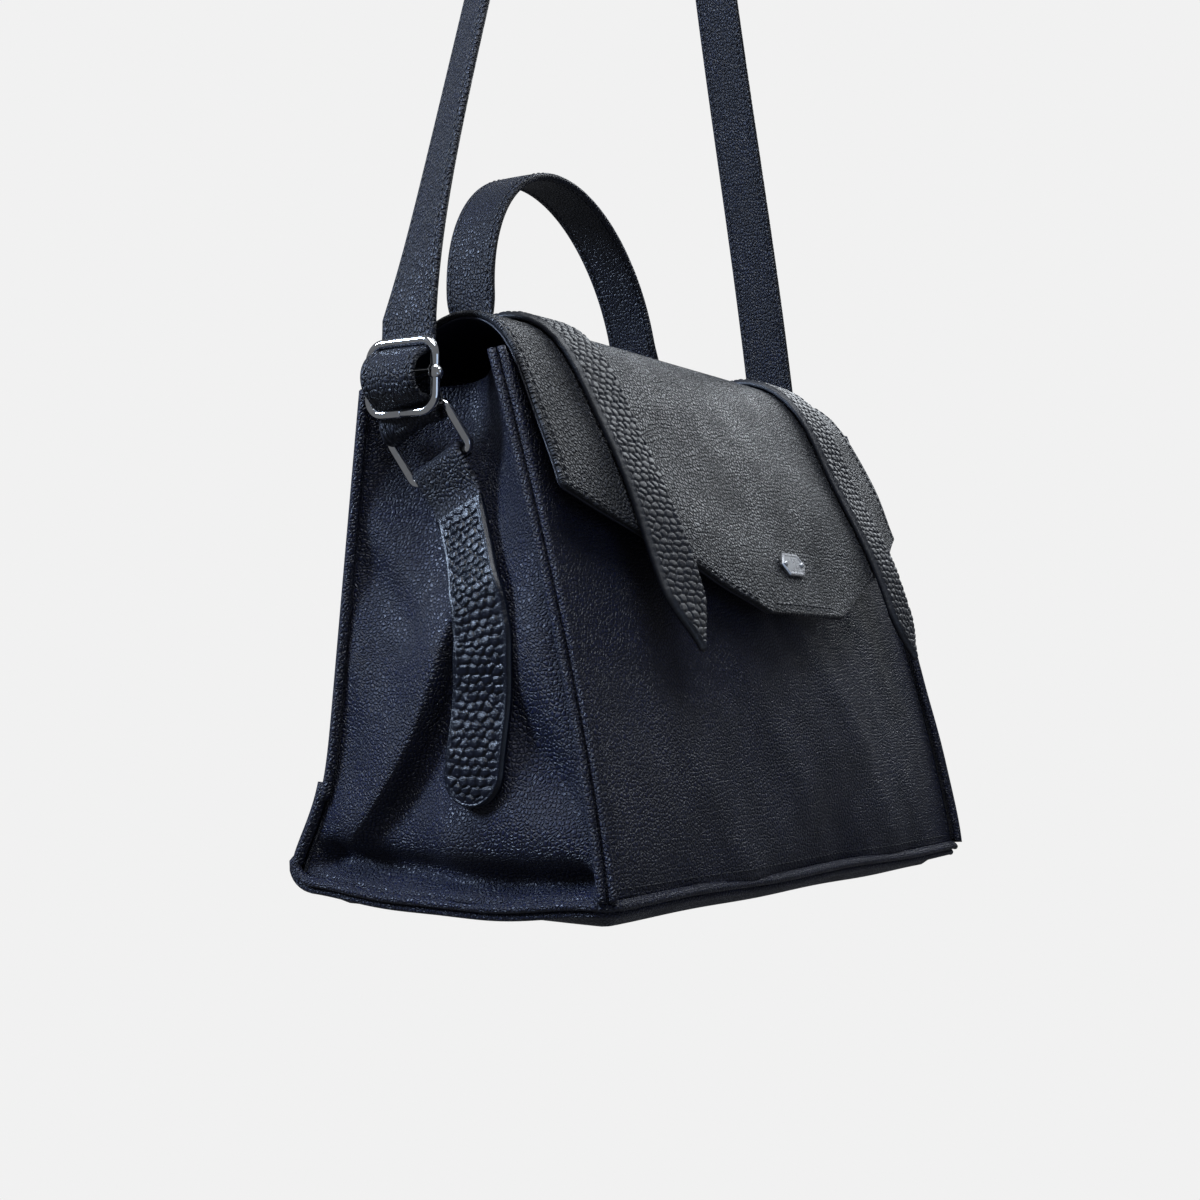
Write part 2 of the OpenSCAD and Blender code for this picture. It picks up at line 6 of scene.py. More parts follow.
import bpy
import numpy as np
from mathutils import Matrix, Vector


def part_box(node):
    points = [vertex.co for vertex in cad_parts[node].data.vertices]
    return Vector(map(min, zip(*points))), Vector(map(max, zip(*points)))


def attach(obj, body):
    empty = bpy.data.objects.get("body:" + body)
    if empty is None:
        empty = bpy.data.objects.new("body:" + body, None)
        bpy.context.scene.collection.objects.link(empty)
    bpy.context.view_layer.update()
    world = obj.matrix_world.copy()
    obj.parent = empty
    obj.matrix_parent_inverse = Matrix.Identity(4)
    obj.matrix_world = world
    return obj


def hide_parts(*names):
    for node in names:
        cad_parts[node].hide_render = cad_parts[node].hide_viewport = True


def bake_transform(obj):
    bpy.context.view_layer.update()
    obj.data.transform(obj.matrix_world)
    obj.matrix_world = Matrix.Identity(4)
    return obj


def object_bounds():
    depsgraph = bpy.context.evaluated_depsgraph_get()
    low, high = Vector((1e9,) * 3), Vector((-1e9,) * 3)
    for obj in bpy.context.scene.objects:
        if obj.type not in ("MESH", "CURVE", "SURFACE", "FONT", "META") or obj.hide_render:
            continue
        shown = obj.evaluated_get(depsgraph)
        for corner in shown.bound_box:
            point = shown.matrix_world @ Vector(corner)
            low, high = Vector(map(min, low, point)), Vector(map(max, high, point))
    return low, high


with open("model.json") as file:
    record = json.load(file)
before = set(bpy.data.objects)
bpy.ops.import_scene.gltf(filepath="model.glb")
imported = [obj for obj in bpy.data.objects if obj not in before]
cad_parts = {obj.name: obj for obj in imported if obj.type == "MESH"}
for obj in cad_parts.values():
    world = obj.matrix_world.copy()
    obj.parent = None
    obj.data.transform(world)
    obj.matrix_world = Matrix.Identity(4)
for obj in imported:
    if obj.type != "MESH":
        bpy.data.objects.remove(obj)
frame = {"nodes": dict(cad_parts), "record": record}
cad_box = [list(corner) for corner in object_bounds()]

# ---------------------------------------------------------------- sizes, in mm, from the frame
MM = 0.001
BASE_SAG = 8
rest = next(m for m in frame["record"]["mounts"] if m["name"] == "base_rest")["pos_m"]
# the middle of the base seam, which every shape below is measured from
ORIGIN = np.array([rest[0], rest[1], rest[2] + BASE_SAG * MM])


def box_mm(node):
    """Lowest and highest corner of a CAD node, in mm from ORIGIN."""
    low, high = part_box(node)
    return (np.array(low) - ORIGIN) / MM, (np.array(high) - ORIGIN) / MM


FRONT_TOP = box_mm("welt_front_left")[1][2]
BACK_TOP = box_mm("welt_back_left")[1][2]
HALF_WIDTH = box_mm("front_panel")[1][0] + 0.5
HALF_DEPTH = 76.0
TAPER = 10.0
FRONT_LEAN = 61.0
FRONT_CURVE = 1.25
BULGE = 12.0
BACK_FOOT = 62.5
BACK_SLOPE = 0.055
BACK_FLARE = 13.0
FLARE_HEIGHT = 28.0
SIDE_FOLD = 30.0
FOLD_EDGE = 1.2
FOLD_START = 95.0
TURN_UP = 42.0
FLAP_LEATHER = 2.2
FLAP_BULGE = 7.0
FLAP_PROFILE = np.array([
    (51, 211), (45, 218), (38, 224), (30, 229.5), (20.5, 234), (10.5, 236), (-1.5, 233.5),
    (-12.5, 226), (-22.5, 211.5), (-30.5, 194), (-38.5, 177), (-46.5, 160), (-53.5, 145),
    (-60, 130), (-66.5, 115), (-73, 99), (-76, 92)], float)
RIDGE_ROW, CORNER_ROW, NOSE_ROW, TIP_ROW = 5.0, 11.0, 14.0, 15.4
FLAP_TOP_HALF, FLAP_HALF, NOSE_HALF = 144.0, 156.0, 36.0


def smooth(t):
    t = np.clip(t, 0, 1)
    return t * t * (3 - 2 * t)


def half_w(z):
    return HALF_WIDTH - TAPER * z / FRONT_TOP


def front_y(z):
    return FRONT_LEAN * (np.maximum(z, 0) / FRONT_TOP) ** FRONT_CURVE - HALF_DEPTH


def back_y(z):
    return BACK_FOOT - BACK_SLOPE * z + BACK_FLARE * np.exp(-(z / FLARE_HEIGHT) ** 2)


def swell(x, z):
    rise = np.clip(z / FRONT_TOP, 0, 1) ** 0.8
    return BULGE * (1 - (x / half_w(z)) ** 2) * np.sin(math.pi * rise)


def side_fold(y, z):
    t = (y - front_y(z)) / (back_y(z) - front_y(z))
    depth = SIDE_FOLD * smooth((z - FOLD_START) / (FRONT_TOP - FOLD_START))
    return depth * np.sin(math.pi * np.clip(t, 0, 1)) ** FOLD_EDGE


def ripple(a, b, waves):
    """Slow unevenness of hand-worked leather: a sum of (height, length a, length b, phase) waves."""
    return sum(h * np.sin(2 * math.pi * (a / la + b / lb) + ph) for h, la, lb, ph in waves)


# ---------------------------------------------------------------- mesh helpers
def unit(v):
    return v / np.maximum(np.linalg.norm(v, axis=-1, keepdims=True), 1e-9)


def make(name, verts, faces, material, uv=None, body="bag", replaces=()):
    """A smooth mesh piece from points in mm, riding on a body."""
    mesh = bpy.data.meshes.new(name)
    points = np.asarray(verts, float) * MM + ORIGIN
    mesh.from_pydata(points.tolist(), [], [tuple(int(i) for i in f) for f in faces])
    mesh.update()
    mesh.polygons.foreach_set("use_smooth", [True] * len(mesh.polygons))
    if uv is not None:
        layer = mesh.uv_layers.new(name="grain")
        index = np.empty(len(mesh.loops), int)
        mesh.loops.foreach_get("vertex_index", index)
        layer.data.foreach_set("uv", (np.asarray(uv, float)[index]).ravel())
    mesh.materials.append(material)
    obj = bpy.data.objects.new(name, mesh)
    bpy.context.scene.collection.objects.link(obj)
    if body:
        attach(obj, body)
    if replaces:
        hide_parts(*replaces)
    return obj


def grid_faces(rows, cols, wrap=False, start=0):
    faces = []
    for i in range(rows - 1):
        for j in range(cols if wrap else cols - 1):
            k = (j + 1) % cols
            faces.append((start + i * cols + j, start + i * cols + k,
                          start + (i + 1) * cols + k, start + (i + 1) * cols + j))
    return faces


def grid_normals(grid):
    return unit(np.cross(np.gradient(grid, axis=1), np.gradient(grid, axis=0)))


def lengths(points):
    steps = np.linalg.norm(np.diff(points, axis=0), axis=-1)
    return np.concatenate([[0], np.cumsum(steps)])


def sheet(name, outer, thick, material, body="bag", replaces=(), relief=None, round_edge=0.35):
    """A sheet of leather or cloth: outer[row, col] is its outer face, columns to the right seen
    from outside and rows upwards. relief lifts the outer face; the edges are rounded."""
    normal = grid_normals(outer)
    inner = outer - normal * thick
    if relief is not None:
        outer = outer + normal * relief[..., None]
    rows, cols = outer.shape[:2]
    across = unit(outer[:, -1] - outer[:, -2]), unit(outer[:, 0] - outer[:, 1])
    right = (outer[:, -1] + inner[:, -1]) / 2 + across[0] * thick * round_edge
    left = (outer[:, 0] + inner[:, 0]) / 2 + across[1] * thick * round_edge
    ring = np.concatenate([outer, right[:, None], inner[:, ::-1], left[:, None]], axis=1)
    lift = [unit(outer[0] - outer[1]), unit(outer[-1] - outer[-2])]
    caps = [(outer[e] + inner[e]) / 2 + lift[i] * thick * round_edge for i, e in enumerate((0, -1))]
    n = ring.shape[1]
    verts = np.concatenate([ring.reshape(-1, 3), caps[0], caps[1]])
    faces = grid_faces(rows, n, wrap=True)
    for i, row in enumerate((0, rows - 1)):
        base, cap = row * n, rows * n + i * cols
        quads = []
        for j in range(cols - 1):
            quads.append((base + j, cap + j, cap + j + 1, base + j + 1))
            far = base + 2 * cols
            quads.append((cap + j, far - j, far - j - 1, cap + j + 1))
        quads.append((base + cols - 1, cap + cols - 1, base + cols))
        quads.append((cap + cols - 1, base + cols + 1, base + cols))
        quads.append((cap, base, base + n - 1))
        quads.append((base + 2 * cols, cap, base + n - 1))
        faces += [f if i == 0 else f[::-1] for f in quads]
    u = np.stack([lengths(r) - lengths(r)[cols // 2] for r in outer])
    v = np.repeat(lengths(outer[:, cols // 2])[:, None], cols, axis=1)
    flat = np.stack([u, v], -1)
    ring_uv = np.concatenate([flat, flat[:, -1:], flat[:, ::-1] + [400, 0], flat[:, :1]], axis=1)
    uv = np.concatenate([ring_uv.reshape(-1, 2), flat[0], flat[-1]])
    return make(name, verts, faces, material, uv, body, replaces)


def frames(path, side):
    """Unit tangents, width directions and face normals along a path."""
    tangent = unit(np.gradient(path, axis=0))
    side = np.broadcast_to(np.asarray(side, float), path.shape)
    width = unit(side - tangent * np.sum(side * tangent, axis=1, keepdims=True))
    return tangent, width, np.cross(tangent, width)


def strap_section(width, thick, crown=0.25, groove=0.22, inset=3.0):
    """Outline of a sewn strap: slightly crowned faces, a shallow valley along each stitch row."""
    a = np.linspace(-1, 1, 21) * (width / 2 - thick * 0.42)
    face = thick / 2 + crown * (1 - (2 * a / width) ** 2)
    face -= groove * np.exp(-((np.abs(a) - (width / 2 - inset)) / 0.8) ** 2)
    turn = np.radians([65, 35, 0, -35, -65])
    edge = np.stack([width / 2 - thick * 0.42 + np.cos(turn) * thick * 0.42, np.sin(turn) * thick * 0.46], 1)
    top, under = np.stack([a, face], 1), np.stack([a[::-1], -face[::-1]], 1)
    return np.concatenate([top, edge, under, edge[::-1] * [-1, 1]])


def swept(ring, path):
    """Points and faces of a ring carried along a path, with its two ends closed on the path itself."""
    rows, cols = ring.shape[:2]
    faces = grid_faces(rows, cols, wrap=True)
    for j in range(cols):
        k = (j + 1) % cols
        faces.append((rows * cols, k, j))
        faces.append((rows * cols + 1, (rows - 1) * cols + j, (rows - 1) * cols + k))
    return np.concatenate([ring.reshape(-1, 3), path[:1], path[-1:]]), faces


def swept_uv(u, path):
    """Grain map of a swept shape: u across its outline, the path's own length along it."""
    v = np.repeat(lengths(path)[:, None], len(u), 1)
    return np.concatenate([np.stack([np.tile(u, (len(path), 1)), v], -1).reshape(-1, 2), [[0, 0], [0, v[-1, 0]]]])


def band(name, path, side, section, material, body="bag", replaces=()):
    """A strap swept along a path: side is its width direction, section its outline."""
    _, width, normal = frames(path, side)
    ring = path[:, None] + width[:, None] * section[None, :, :1] + normal[:, None] * section[None, :, 1:]
    verts, faces = swept(ring, path)
    uv = swept_uv(section[:, 0] + np.where(section[:, 1] < 0, 60, 0), path)
    return make(name, verts, [f[::-1] for f in faces], material, uv, body, replaces)


def tube(name, path, radius, material, body="bag", replaces=(), closed=False, sides=16):
    """A wire along a path; closed joins its ends. radius may change along the path."""
    tangent = unit(np.roll(path, -1, 0) - np.roll(path, 1, 0) if closed else np.gradient(path, axis=0))
    normal = np.zeros_like(path)
    start = np.array([1.0, 0.2, 0.1])
    normal[0] = unit(start - tangent[0] * start.dot(tangent[0]))
    for i in range(1, len(path)):
        normal[i] = unit(normal[i - 1] - tangent[i] * normal[i - 1].dot(tangent[i]))
    binormal = np.cross(tangent, normal)
    radius = np.broadcast_to(radius, len(path))
    angle = np.linspace(0, 2 * math.pi, sides, endpoint=False)
    ring = path[:, None] + radius[:, None, None] * (
        normal[:, None] * np.cos(angle)[None, :, None] + binormal[:, None] * np.sin(angle)[None, :, None])
    if closed:
        verts, faces, end = ring.reshape(-1, 3), grid_faces(len(path), sides, wrap=True), (len(path) - 1) * sides
        faces += [(end + j, end + (j + 1) % sides, (j + 1) % sides, j) for j in range(sides)]
    else:
        verts, faces = swept(ring, path)
    return make(name, verts, faces, material, None, body, replaces)


def resample(points, step):
    """Points at even steps along a polyline."""
    s = lengths(points)
    n = max(int(round(s[-1] / step)), 2)
    t = np.linspace(0, s[-1], n + 1)
    return np.stack([np.interp(t, s, points[:, k]) for k in range(3)], 1)


STITCH_PITCH = 4.0
STITCH_LENGTH = 3.1
THREAD = 0.36


def stitches(name, runs, material, body="bag"):
    """Rows of stitches lying on a surface. Each run is (points, normals)."""
    verts, faces, sides = [], [], 6
    steps, swellings = np.array([-0.5, -0.3, 0, 0.3, 0.5]), [0.35, 0.9, 1, 0.9, 0.35]
    ring = np.linspace(0, 2 * math.pi, sides, endpoint=False)
    for points, normals in runs:
        s = lengths(points)
        for c in np.arange(STITCH_PITCH / 2, s[-1] - STITCH_PITCH / 2, STITCH_PITCH):
            t = c + steps * STITCH_LENGTH
            p = np.stack([np.interp(t, s, points[:, k]) for k in range(3)], 1)
            n = unit(np.stack([np.interp(t, s, normals[:, k]) for k in range(3)], 1))
            along = unit(p[-1] - p[0])
            side = np.cross(along, n)
            p = p + n * (np.array([-0.25, 0.12, 0.2, 0.12, -0.25])[:, None])
            base = len(verts)
            for q, r, m, w in zip(p, swellings, n, side):
                for a in ring:
                    verts.append(q + THREAD * r * (w * math.cos(a) + m * math.sin(a)))
            faces += grid_faces(len(steps), sides, wrap=True, start=base)
            faces.append(tuple(base + j for j in reversed(range(sides))))
            faces.append(tuple(base + 4 * sides + j for j in range(sides)))
    return make(name, verts, faces, material, None, body)


# ---------------------------------------------------------------- materials
def shader(name):
    material = bpy.data.materials.new(name)
    material.use_nodes = True
    return material, material.node_tree, material.node_tree.nodes["Principled BSDF"]


def feed(tree, node, inputs):
    """Gives a node's inputs their values, or links them where the value is another node's output."""
    for name, value in inputs.items():
        if isinstance(value, bpy.types.NodeSocket):
            tree.links.new(value, node.inputs[name])
        else:
            node.inputs[name].default_value = value


def add(tree, kind, output, inputs, **settings):
    node = tree.nodes.new("ShaderNode" + kind)
    for name, value in settings.items():
        setattr(node, name, value)
    feed(tree, node, inputs)
    return node.outputs[output]


def noise(tree, vector, scale, detail, output="Fac", dimensions="2D"):
    return add(tree, "TexNoise", output, {"Vector": vector, "Scale": scale, "Detail": detail},
               noise_dimensions=dimensions)


def remap(tree, value, low, high, to_low, to_high):
    inputs = {"Value": value, "From Min": low, "From Max": high, "To Min": to_low, "To Max": to_high}
    return add(tree, "MapRange", "Result", inputs, interpolation_type="SMOOTHSTEP")


def colour_mix(tree, factor, dark, light):
    return add(tree, "Mix", "Result", {"Factor": factor, "A": (*dark, 1), "B": (*light, 1)}, data_type="RGBA")


def bump(tree, height, strength, depth):
    """Shading raised by a height pattern, depth in mm."""
    return add(tree, "Bump", "Normal", {"Height": height, "Strength": strength, "Distance": depth * MM})


def grain_uv(tree, scale, stretch=(1, 1)):
    """The piece's own grain map, in mm, scaled to cells and slightly warped."""
    source = add(tree, "UVMap", "UV", {}, uv_map="grain")
    sizes = (scale * stretch[0], scale * stretch[1], 1)
    mapped = add(tree, "Mapping", "Vector", {"Vector": source, "Scale": sizes})
    warp = {0: noise(tree, mapped, 0.55, 2, output="Color"), 1: (0.9, 0.9, 0), 2: mapped}
    return add(tree, "VectorMath", "Vector", warp, operation="MULTIPLY_ADD")


def leather(name, cell, dark, light, rough=(0.36, 0.6), depth=0.35, stretch=(1, 1), strength=0.55,
            specular=0.5):
    """Pebbled leather: cells of the given size in mm with creases between, a fine grain on top."""
    material, tree, bsdf = shader(name)
    grain = grain_uv(tree, 1 / cell, stretch)
    edge = add(tree, "TexVoronoi", "Distance", {"Vector": grain, "Scale": 1},
               voronoi_dimensions="2D", feature="DISTANCE_TO_EDGE")
    dome = remap(tree, edge, 0, 0.34, 0, 1)
    height = add(tree, "Math", "Value", {0: noise(tree, grain, 5, 4), 1: 0.12, 2: dome}, operation="MULTIPLY_ADD")
    worn = remap(tree, noise(tree, grain, 0.09, 5), 0.3, 0.7, 0.45, 1)
    tone = add(tree, "Math", "Value", {0: dome, 1: worn}, operation="MULTIPLY")
    feed(tree, bsdf, {"Normal": bump(tree, height, strength, depth),
                      "Base Color": colour_mix(tree, tone, dark, light),
                      "Roughness": remap(tree, tone, 0, 1, rough[1], rough[0]),
                      "Specular IOR Level": specular})
    return material


def cloth(name, thread, dark, light):
    """Plain woven lining: crossed threads of the given width in mm."""
    material, tree, bsdf = shader(name)
    grain = grain_uv(tree, 1 / thread)
    wave = {"Vector": grain, "Scale": 0.5, "Distortion": 0.4}
    waves = [add(tree, "TexWave", "Fac", wave, bands_direction=direction) for direction in ("X", "Y")]
    both = add(tree, "Math", "Value", {0: waves[0], 1: waves[1]}, operation="MULTIPLY")
    feed(tree, bsdf, {"Normal": bump(tree, both, 0.4, 0.15), "Base Color": colour_mix(tree, both, dark, light),
                      "Roughness": 0.85, "Sheen Weight": 0.3})
    return material


def plain(name, colour, rough, metallic=0.0, scratch=0.0, spread=0.08):
    """Metal, thread or board: one colour whose roughness and tone wander a little."""
    material, tree, bsdf = shader(name)
    cloud = noise(tree, add(tree, "TexCoord", "Object", {}), 420, 4, dimensions="3D")
    shade = [c * 0.8 for c in colour]
    feed(tree, bsdf, {"Roughness": remap(tree, cloud, 0.3, 0.7, rough - spread / 2, rough + spread / 2),
                      "Base Color": colour_mix(tree, cloud, shade, colour), "Metallic": metallic})
    if scratch:
        feed(tree, bsdf, {"Normal": bump(tree, cloud, scratch, 0.05)})
    return material


NAVY_DARK, NAVY = (0.0024, 0.0034, 0.0125), (0.008, 0.011, 0.037)
PEBBLED = leather("pebbled_leather", 1.7, NAVY_DARK, NAVY,
                  rough=(0.33, 0.58), depth=0.75, strength=0.8, specular=0.42)
# the flap's copy of the pebbled leather, painted lighter and greyer: painted light standing in for the top light
# falling on the flap
FLAP_PEBBLED_PAINTED_LIGHT = leather("flap_leather", 2.0, (0.005, 0.006, 0.01), (0.03, 0.033, 0.047),
                       rough=(0.33, 0.6), depth=2.2, strength=1.0)
STRAP_PEBBLED = leather("strap_leather", 1.8, (0.0035, 0.0045, 0.011), (0.016, 0.0195, 0.041),
                        depth=1.1, strength=0.95, stretch=(1.25, 0.9))
SMOOTH = leather("inner_leather", 0.9, NAVY_DARK, (0.009, 0.0115, 0.024), rough=(0.45, 0.55), depth=0.1)
SCALES = leather("embossed_leather", 0.8, (0.002, 0.003, 0.007), (0.004, 0.006, 0.015),
                 rough=(0.16, 0.27), depth=0.06, specular=0.3)
MATT_SCALES = leather("flap_strap_leather", 0.8, (0.003, 0.004, 0.008), (0.009, 0.011, 0.02),
                      rough=(0.34, 0.46), depth=0.06)
LINING = cloth("lining_cloth", 0.7, (0.008, 0.008, 0.01), (0.03, 0.03, 0.035))
NICKEL = plain("polished_nickel", (0.86, 0.86, 0.88), 0.08, metallic=1, spread=0.04)
SATIN = plain("satin_plate", (0.62, 0.63, 0.66), 0.3, metallic=1, scratch=0.25)
SNAP = plain("snap_metal", (0.5, 0.5, 0.52), 0.3, metallic=1)
THREAD_DARK = plain("waxed_thread", (0.012, 0.013, 0.02), 0.42, spread=0.15)
BOARD = plain("stiff_board", (0.18, 0.16, 0.14), 0.8)


# ---------------------------------------------------------------- body of the bag
def spans(a, b, n):
    return np.linspace(a, b, n)


def panel_grid(xs, zs, surface):
    z, x = np.meshgrid(zs, xs, indexing="ij")
    return surface(x, z)


FRONT_WAVES = [(1.4, 210, 150, 0.6), (1.0, -120, 90, 2.0), (0.6, 70, 160, 4.1), (0.3, 38, 52, 1.0)]
BACK_WAVES = [(0.4, 190, 140, 1.0), (0.3, -100, 80, 3.0)]
SIDE_WAVES = [(0.9, 75, 120, 0.4), (0.7, -48, 60, 2.2), (0.5, 33, -90, 1.0)]
FLAP_WAVES = [(0.9, 170, 90, 0.5), (0.6, -90, 70, 2.0), (0.35, 48, -60, 1.2)]
SEAM_ROOM = 0.4
PANEL_THICK, SIDE_THICK, BASE_THICK = 2.0, 1.8, 2.4


def front_surface(x, z, inset=0.0):
    """Outer face of the front panel, bellied and a little uneven, drawn in at its seams."""
    w = half_w(z) - SEAM_ROOM
    hem = smooth((np.abs(x / w) - 0.93) / 0.07)
    y = front_y(z) - swell(x, z) + inset + ripple(x, z, FRONT_WAVES) * (1 - (x / w) ** 4) + 0.9 * hem
    return np.stack([x + 0 * y, y, z + 0 * y], -1)


def stretched(surface, zs, cols, margin=SEAM_ROOM, flip=1):
    """Grid of a panel whose sides follow the body's width at each height."""
    u = spans(-1, 1, cols)
    return np.array([surface(flip * u * (half_w(z) - margin), np.full(cols, z)) for z in zs])


front_grid = stretched(front_surface, spans(3.2, FRONT_TOP - 0.2, 120), 170)
sheet("front_panel_leather", front_grid, PANEL_THICK, PEBBLED, replaces=["front_panel"])


def back_surface(x, z, inset=0.0):
    """Outer face of the back panel."""
    y = back_y(z) - inset + ripple(x, z, BACK_WAVES) * (1 - (x / half_w(z)) ** 4)
    return np.stack([x + 0 * y, y, z + 0 * y], -1)


back_grid = stretched(back_surface, spans(4, BACK_TOP - 0.2, 90), 130, flip=-1)
sheet("back_panel_leather", back_grid, PANEL_THICK, PEBBLED, replaces=["back_panel"])

# where the side wall creases as it folds in, as (y, z) on the left side
CREASE_GUIDES = np.array([(-4, 150), (0, 95), (12, 46), (66, 6)], float)
along = spans(0, 1, 16)[:, None]
CREASE = ((1 - along) ** 3 * CREASE_GUIDES[0] + 3 * along * (1 - along) ** 2 * CREASE_GUIDES[1]
          + 3 * along ** 2 * (1 - along) * CREASE_GUIDES[2] + along ** 3 * CREASE_GUIDES[3])
STAND, DROP, STEP, RISE = 5.0, 10.5, 5.5, 9.5
HOLLOW, ROLL, FOLD_DEPTH = 10.0, 4.0, 4.0


def from_crease(y, z):
    """Distance in front of the crease (behind it is negative) and the place along it, 0 to 1."""
    best = np.full(np.shape(y), 1e9)
    where, sign = np.zeros(np.shape(y)), np.ones(np.shape(y))
    for k in range(len(CREASE) - 1):
        a, d = CREASE[k], CREASE[k + 1] - CREASE[k]
        t = np.clip(((y - a[0]) * d[0] + (z - a[1]) * d[1]) / d.dot(d), 0, 1)
        away_y, away_z = y - a[0] - t * d[0], z - a[1] - t * d[1]
        near = np.hypot(away_y, away_z) < best
        best = np.minimum(best, np.hypot(away_y, away_z))
        where = np.where(near, (k + t) / (len(CREASE) - 1), where)
        sign = np.where(near, np.sign(away_y * d[1] - away_z * d[0]), sign)
    return best * sign, where


def side_surface(y, z, inset=0.0):
    """Outer face of the left side wall."""
    t = np.clip((y - front_y(z)) / (back_y(z) - front_y(z)), 0, 1)
    calm = smooth(np.minimum(t, 1 - t) / 0.09)
    x = -half_w(z) + side_fold(y, z) + inset
    away, where = from_crease(y, z)
    strength = smooth(where / 0.35) * smooth((1 - where) / 0.3)
    # behind the crease the wall stands out; it drops at the crease, then rises to the tab
    behind = -STAND * np.exp(-(away / 24) ** 2)
    dropped = -STAND + DROP * smooth(away / STEP)
    rising = DROP - STAND - RISE * smooth((away - STEP) / 36) + 4.0 * smooth((away - STEP - 36) / 30)
    fold = np.where(away < 0, behind, np.where(away < STEP, dropped, rising))
    x = x + fold * strength * calm
    # above the rim of the base the wall is hollow, and over the hollow it rolls out
    low = smooth((z - 4) / 4) * np.exp(-((z - 10 - 4 * t) / 6.0) ** 2)
    x = x + HOLLOW * low * calm
    x = x - ROLL * np.exp(-((z - 29) / 12) ** 2) * calm * (1 - 0.7 * t)
    # a soft fold runs down and forwards from the back edge, and another from the tab to the front
    x = x + FOLD_DEPTH * np.exp(-((z - 128 + 0.9 * (45 - y)) / 13) ** 2) * smooth((y - 5) / 25) * calm
    x = x + FOLD_DEPTH * np.exp(-((z - 62 - 1.1 * (y + 38)) / 11) ** 2) * smooth((-24 - y) / 12) * calm
    x = x + ripple(y, z, SIDE_WAVES) * calm
    return np.stack([x, y + 0 * x, z + 0 * x], -1)


SIDE_DROP = 5.5


def side_drop(y):
    """How far the rim of the base hangs down along each side."""
    t = np.clip((y + HALF_DEPTH) / (2 * HALF_DEPTH), 0, 1)
    return SIDE_DROP * np.sin(math.pi * t) ** 2 * (1 + 0.25 * np.sin(9 * t))


def side_grid(rows, cols, mirror=False):
    """Grid of a side wall between its seams; its foot follows the rim of the base."""
    out = []
    for r in spans(0, 1, rows):
        t = spans(0, 1, cols)
        z = 4 + (FRONT_TOP + (BACK_TOP - FRONT_TOP) * t - 4.4) * r
        y = front_y(z) + 2.3 + (back_y(z) - front_y(z) - 4.6) * t
        point = side_surface(y, z)
        point[:, 2] -= side_drop(y) * (1 - r) ** 6
        out.append(point)
    out = np.array(out)
    return out * [-1, 1, 1] if mirror else out[:, ::-1]


for side, flipped in (("left", False), ("right", True)):
    sheet(f"gusset_{side}_leather", side_grid(130, 80, flipped), SIDE_THICK, PEBBLED,
          replaces=[f"gusset_{side}"])


def base_grid(cols):
    """Outer face of the base: it sags in the middle, hangs at its sides and turns up the back."""
    bottom = [(y, 0.0) for y in spans(1.7 - HALF_DEPTH, HALF_DEPTH - 4, 50)]
    corner = [(HALF_DEPTH - 1.9 + 3.6 * math.sin(a), 3.9 - 3.9 * math.cos(a))
              for a in np.radians([20, 40, 60, 80])]
    wall = [(back_y(z) + 2.8, z) for z in spans(7, TURN_UP, 22)]
    rows = []
    for y, z in bottom + corner + wall:
        u = spans(1, -1, cols)
        tray = smooth((1 - np.abs(u)) / 0.1) * smooth((1 - abs(y) / HALF_DEPTH) / 0.16) * (z == 0)
        lumps = 0.5 * np.sin(u * 9 + y * 0.05) * tray
        edge = side_drop(y) * smooth((np.abs(u) - 0.7) / 0.25) * (z == 0)
        sag = np.maximum(BASE_SAG * tray * 0.99, edge)
        rows.append(np.stack([-u * (HALF_WIDTH - 1.7), np.full(cols, y), z - sag + lumps * 0.6], 1))
    return np.array(rows)[:, ::-1]


sheet("base_panel_leather", base_grid(150), BASE_THICK, PEBBLED, replaces=["base_panel"])

board = frame["nodes"]["base_board"]
board.data.materials.clear()
board.data.materials.append(BOARD)


SEAM_LAYER = np.array([(-1, -0.2), (-1, 0.55), (-0.9, 0.85), (-0.68, 1), (-0.42, 1), (-0.2, 0.86),
                       (-0.1, 0.6), (-0.03, 0.1)])


def rib(name, path, outward, along_face, width, proud, node):
    """A raised seam of two leather edges side by side. outward points away from the corner."""
    w = width / 2
    layer = SEAM_LAYER
    section = np.concatenate([layer, layer[::-1] * [-1, 1]]) * [w, proud]
    section = np.concatenate([section, [(w - 0.6, -0.9), (0, -0.9), (0.6 - w, -0.9)]])
    ring = path[:, None] + along_face[:, None] * section[None, :, :1] + outward[:, None] * section[None, :, 1:]
    verts, faces = swept(ring, path)
    make(name, verts, faces, PEBBLED, swept_uv(lengths(section), path), replaces=[node])


# width and height of each seam
FRONT_SEAM, BACK_SEAM, BASE_SEAM = (7.6, 3.3), (6.0, 2.6), (6.8, 3.1)
for side, s in (("left", 1), ("right", -1)):
    z = spans(3.5, FRONT_TOP, 90)
    wobble = 0.35 * np.sin(z / 17.0) + 0.25 * np.sin(z / 7.3)
    front = np.stack([-s * (half_w(z) + 0.4 + wobble * 0.4), front_y(z) - 0.2 - wobble * 0.3, z], 1)
    z = spans(TURN_UP - 6, BACK_TOP, 70)
    back = np.stack([-s * (half_w(z) + 0.3), back_y(z) + 0.2, z], 1)
    for end, path, out, size in (("front", front, (-s * 0.8, -0.6, 0.0), FRONT_SEAM),
                                 ("back", back, (-s * 0.75, 0.66, 0.0), BACK_SEAM)):
        out = unit(np.broadcast_to(out, path.shape))
        along_face = np.cross(unit(np.gradient(path, axis=0)), out) * s
        rib(f"seam_{end}_{side}", path, out, along_face, *size, f"welt_{end}_{side}")

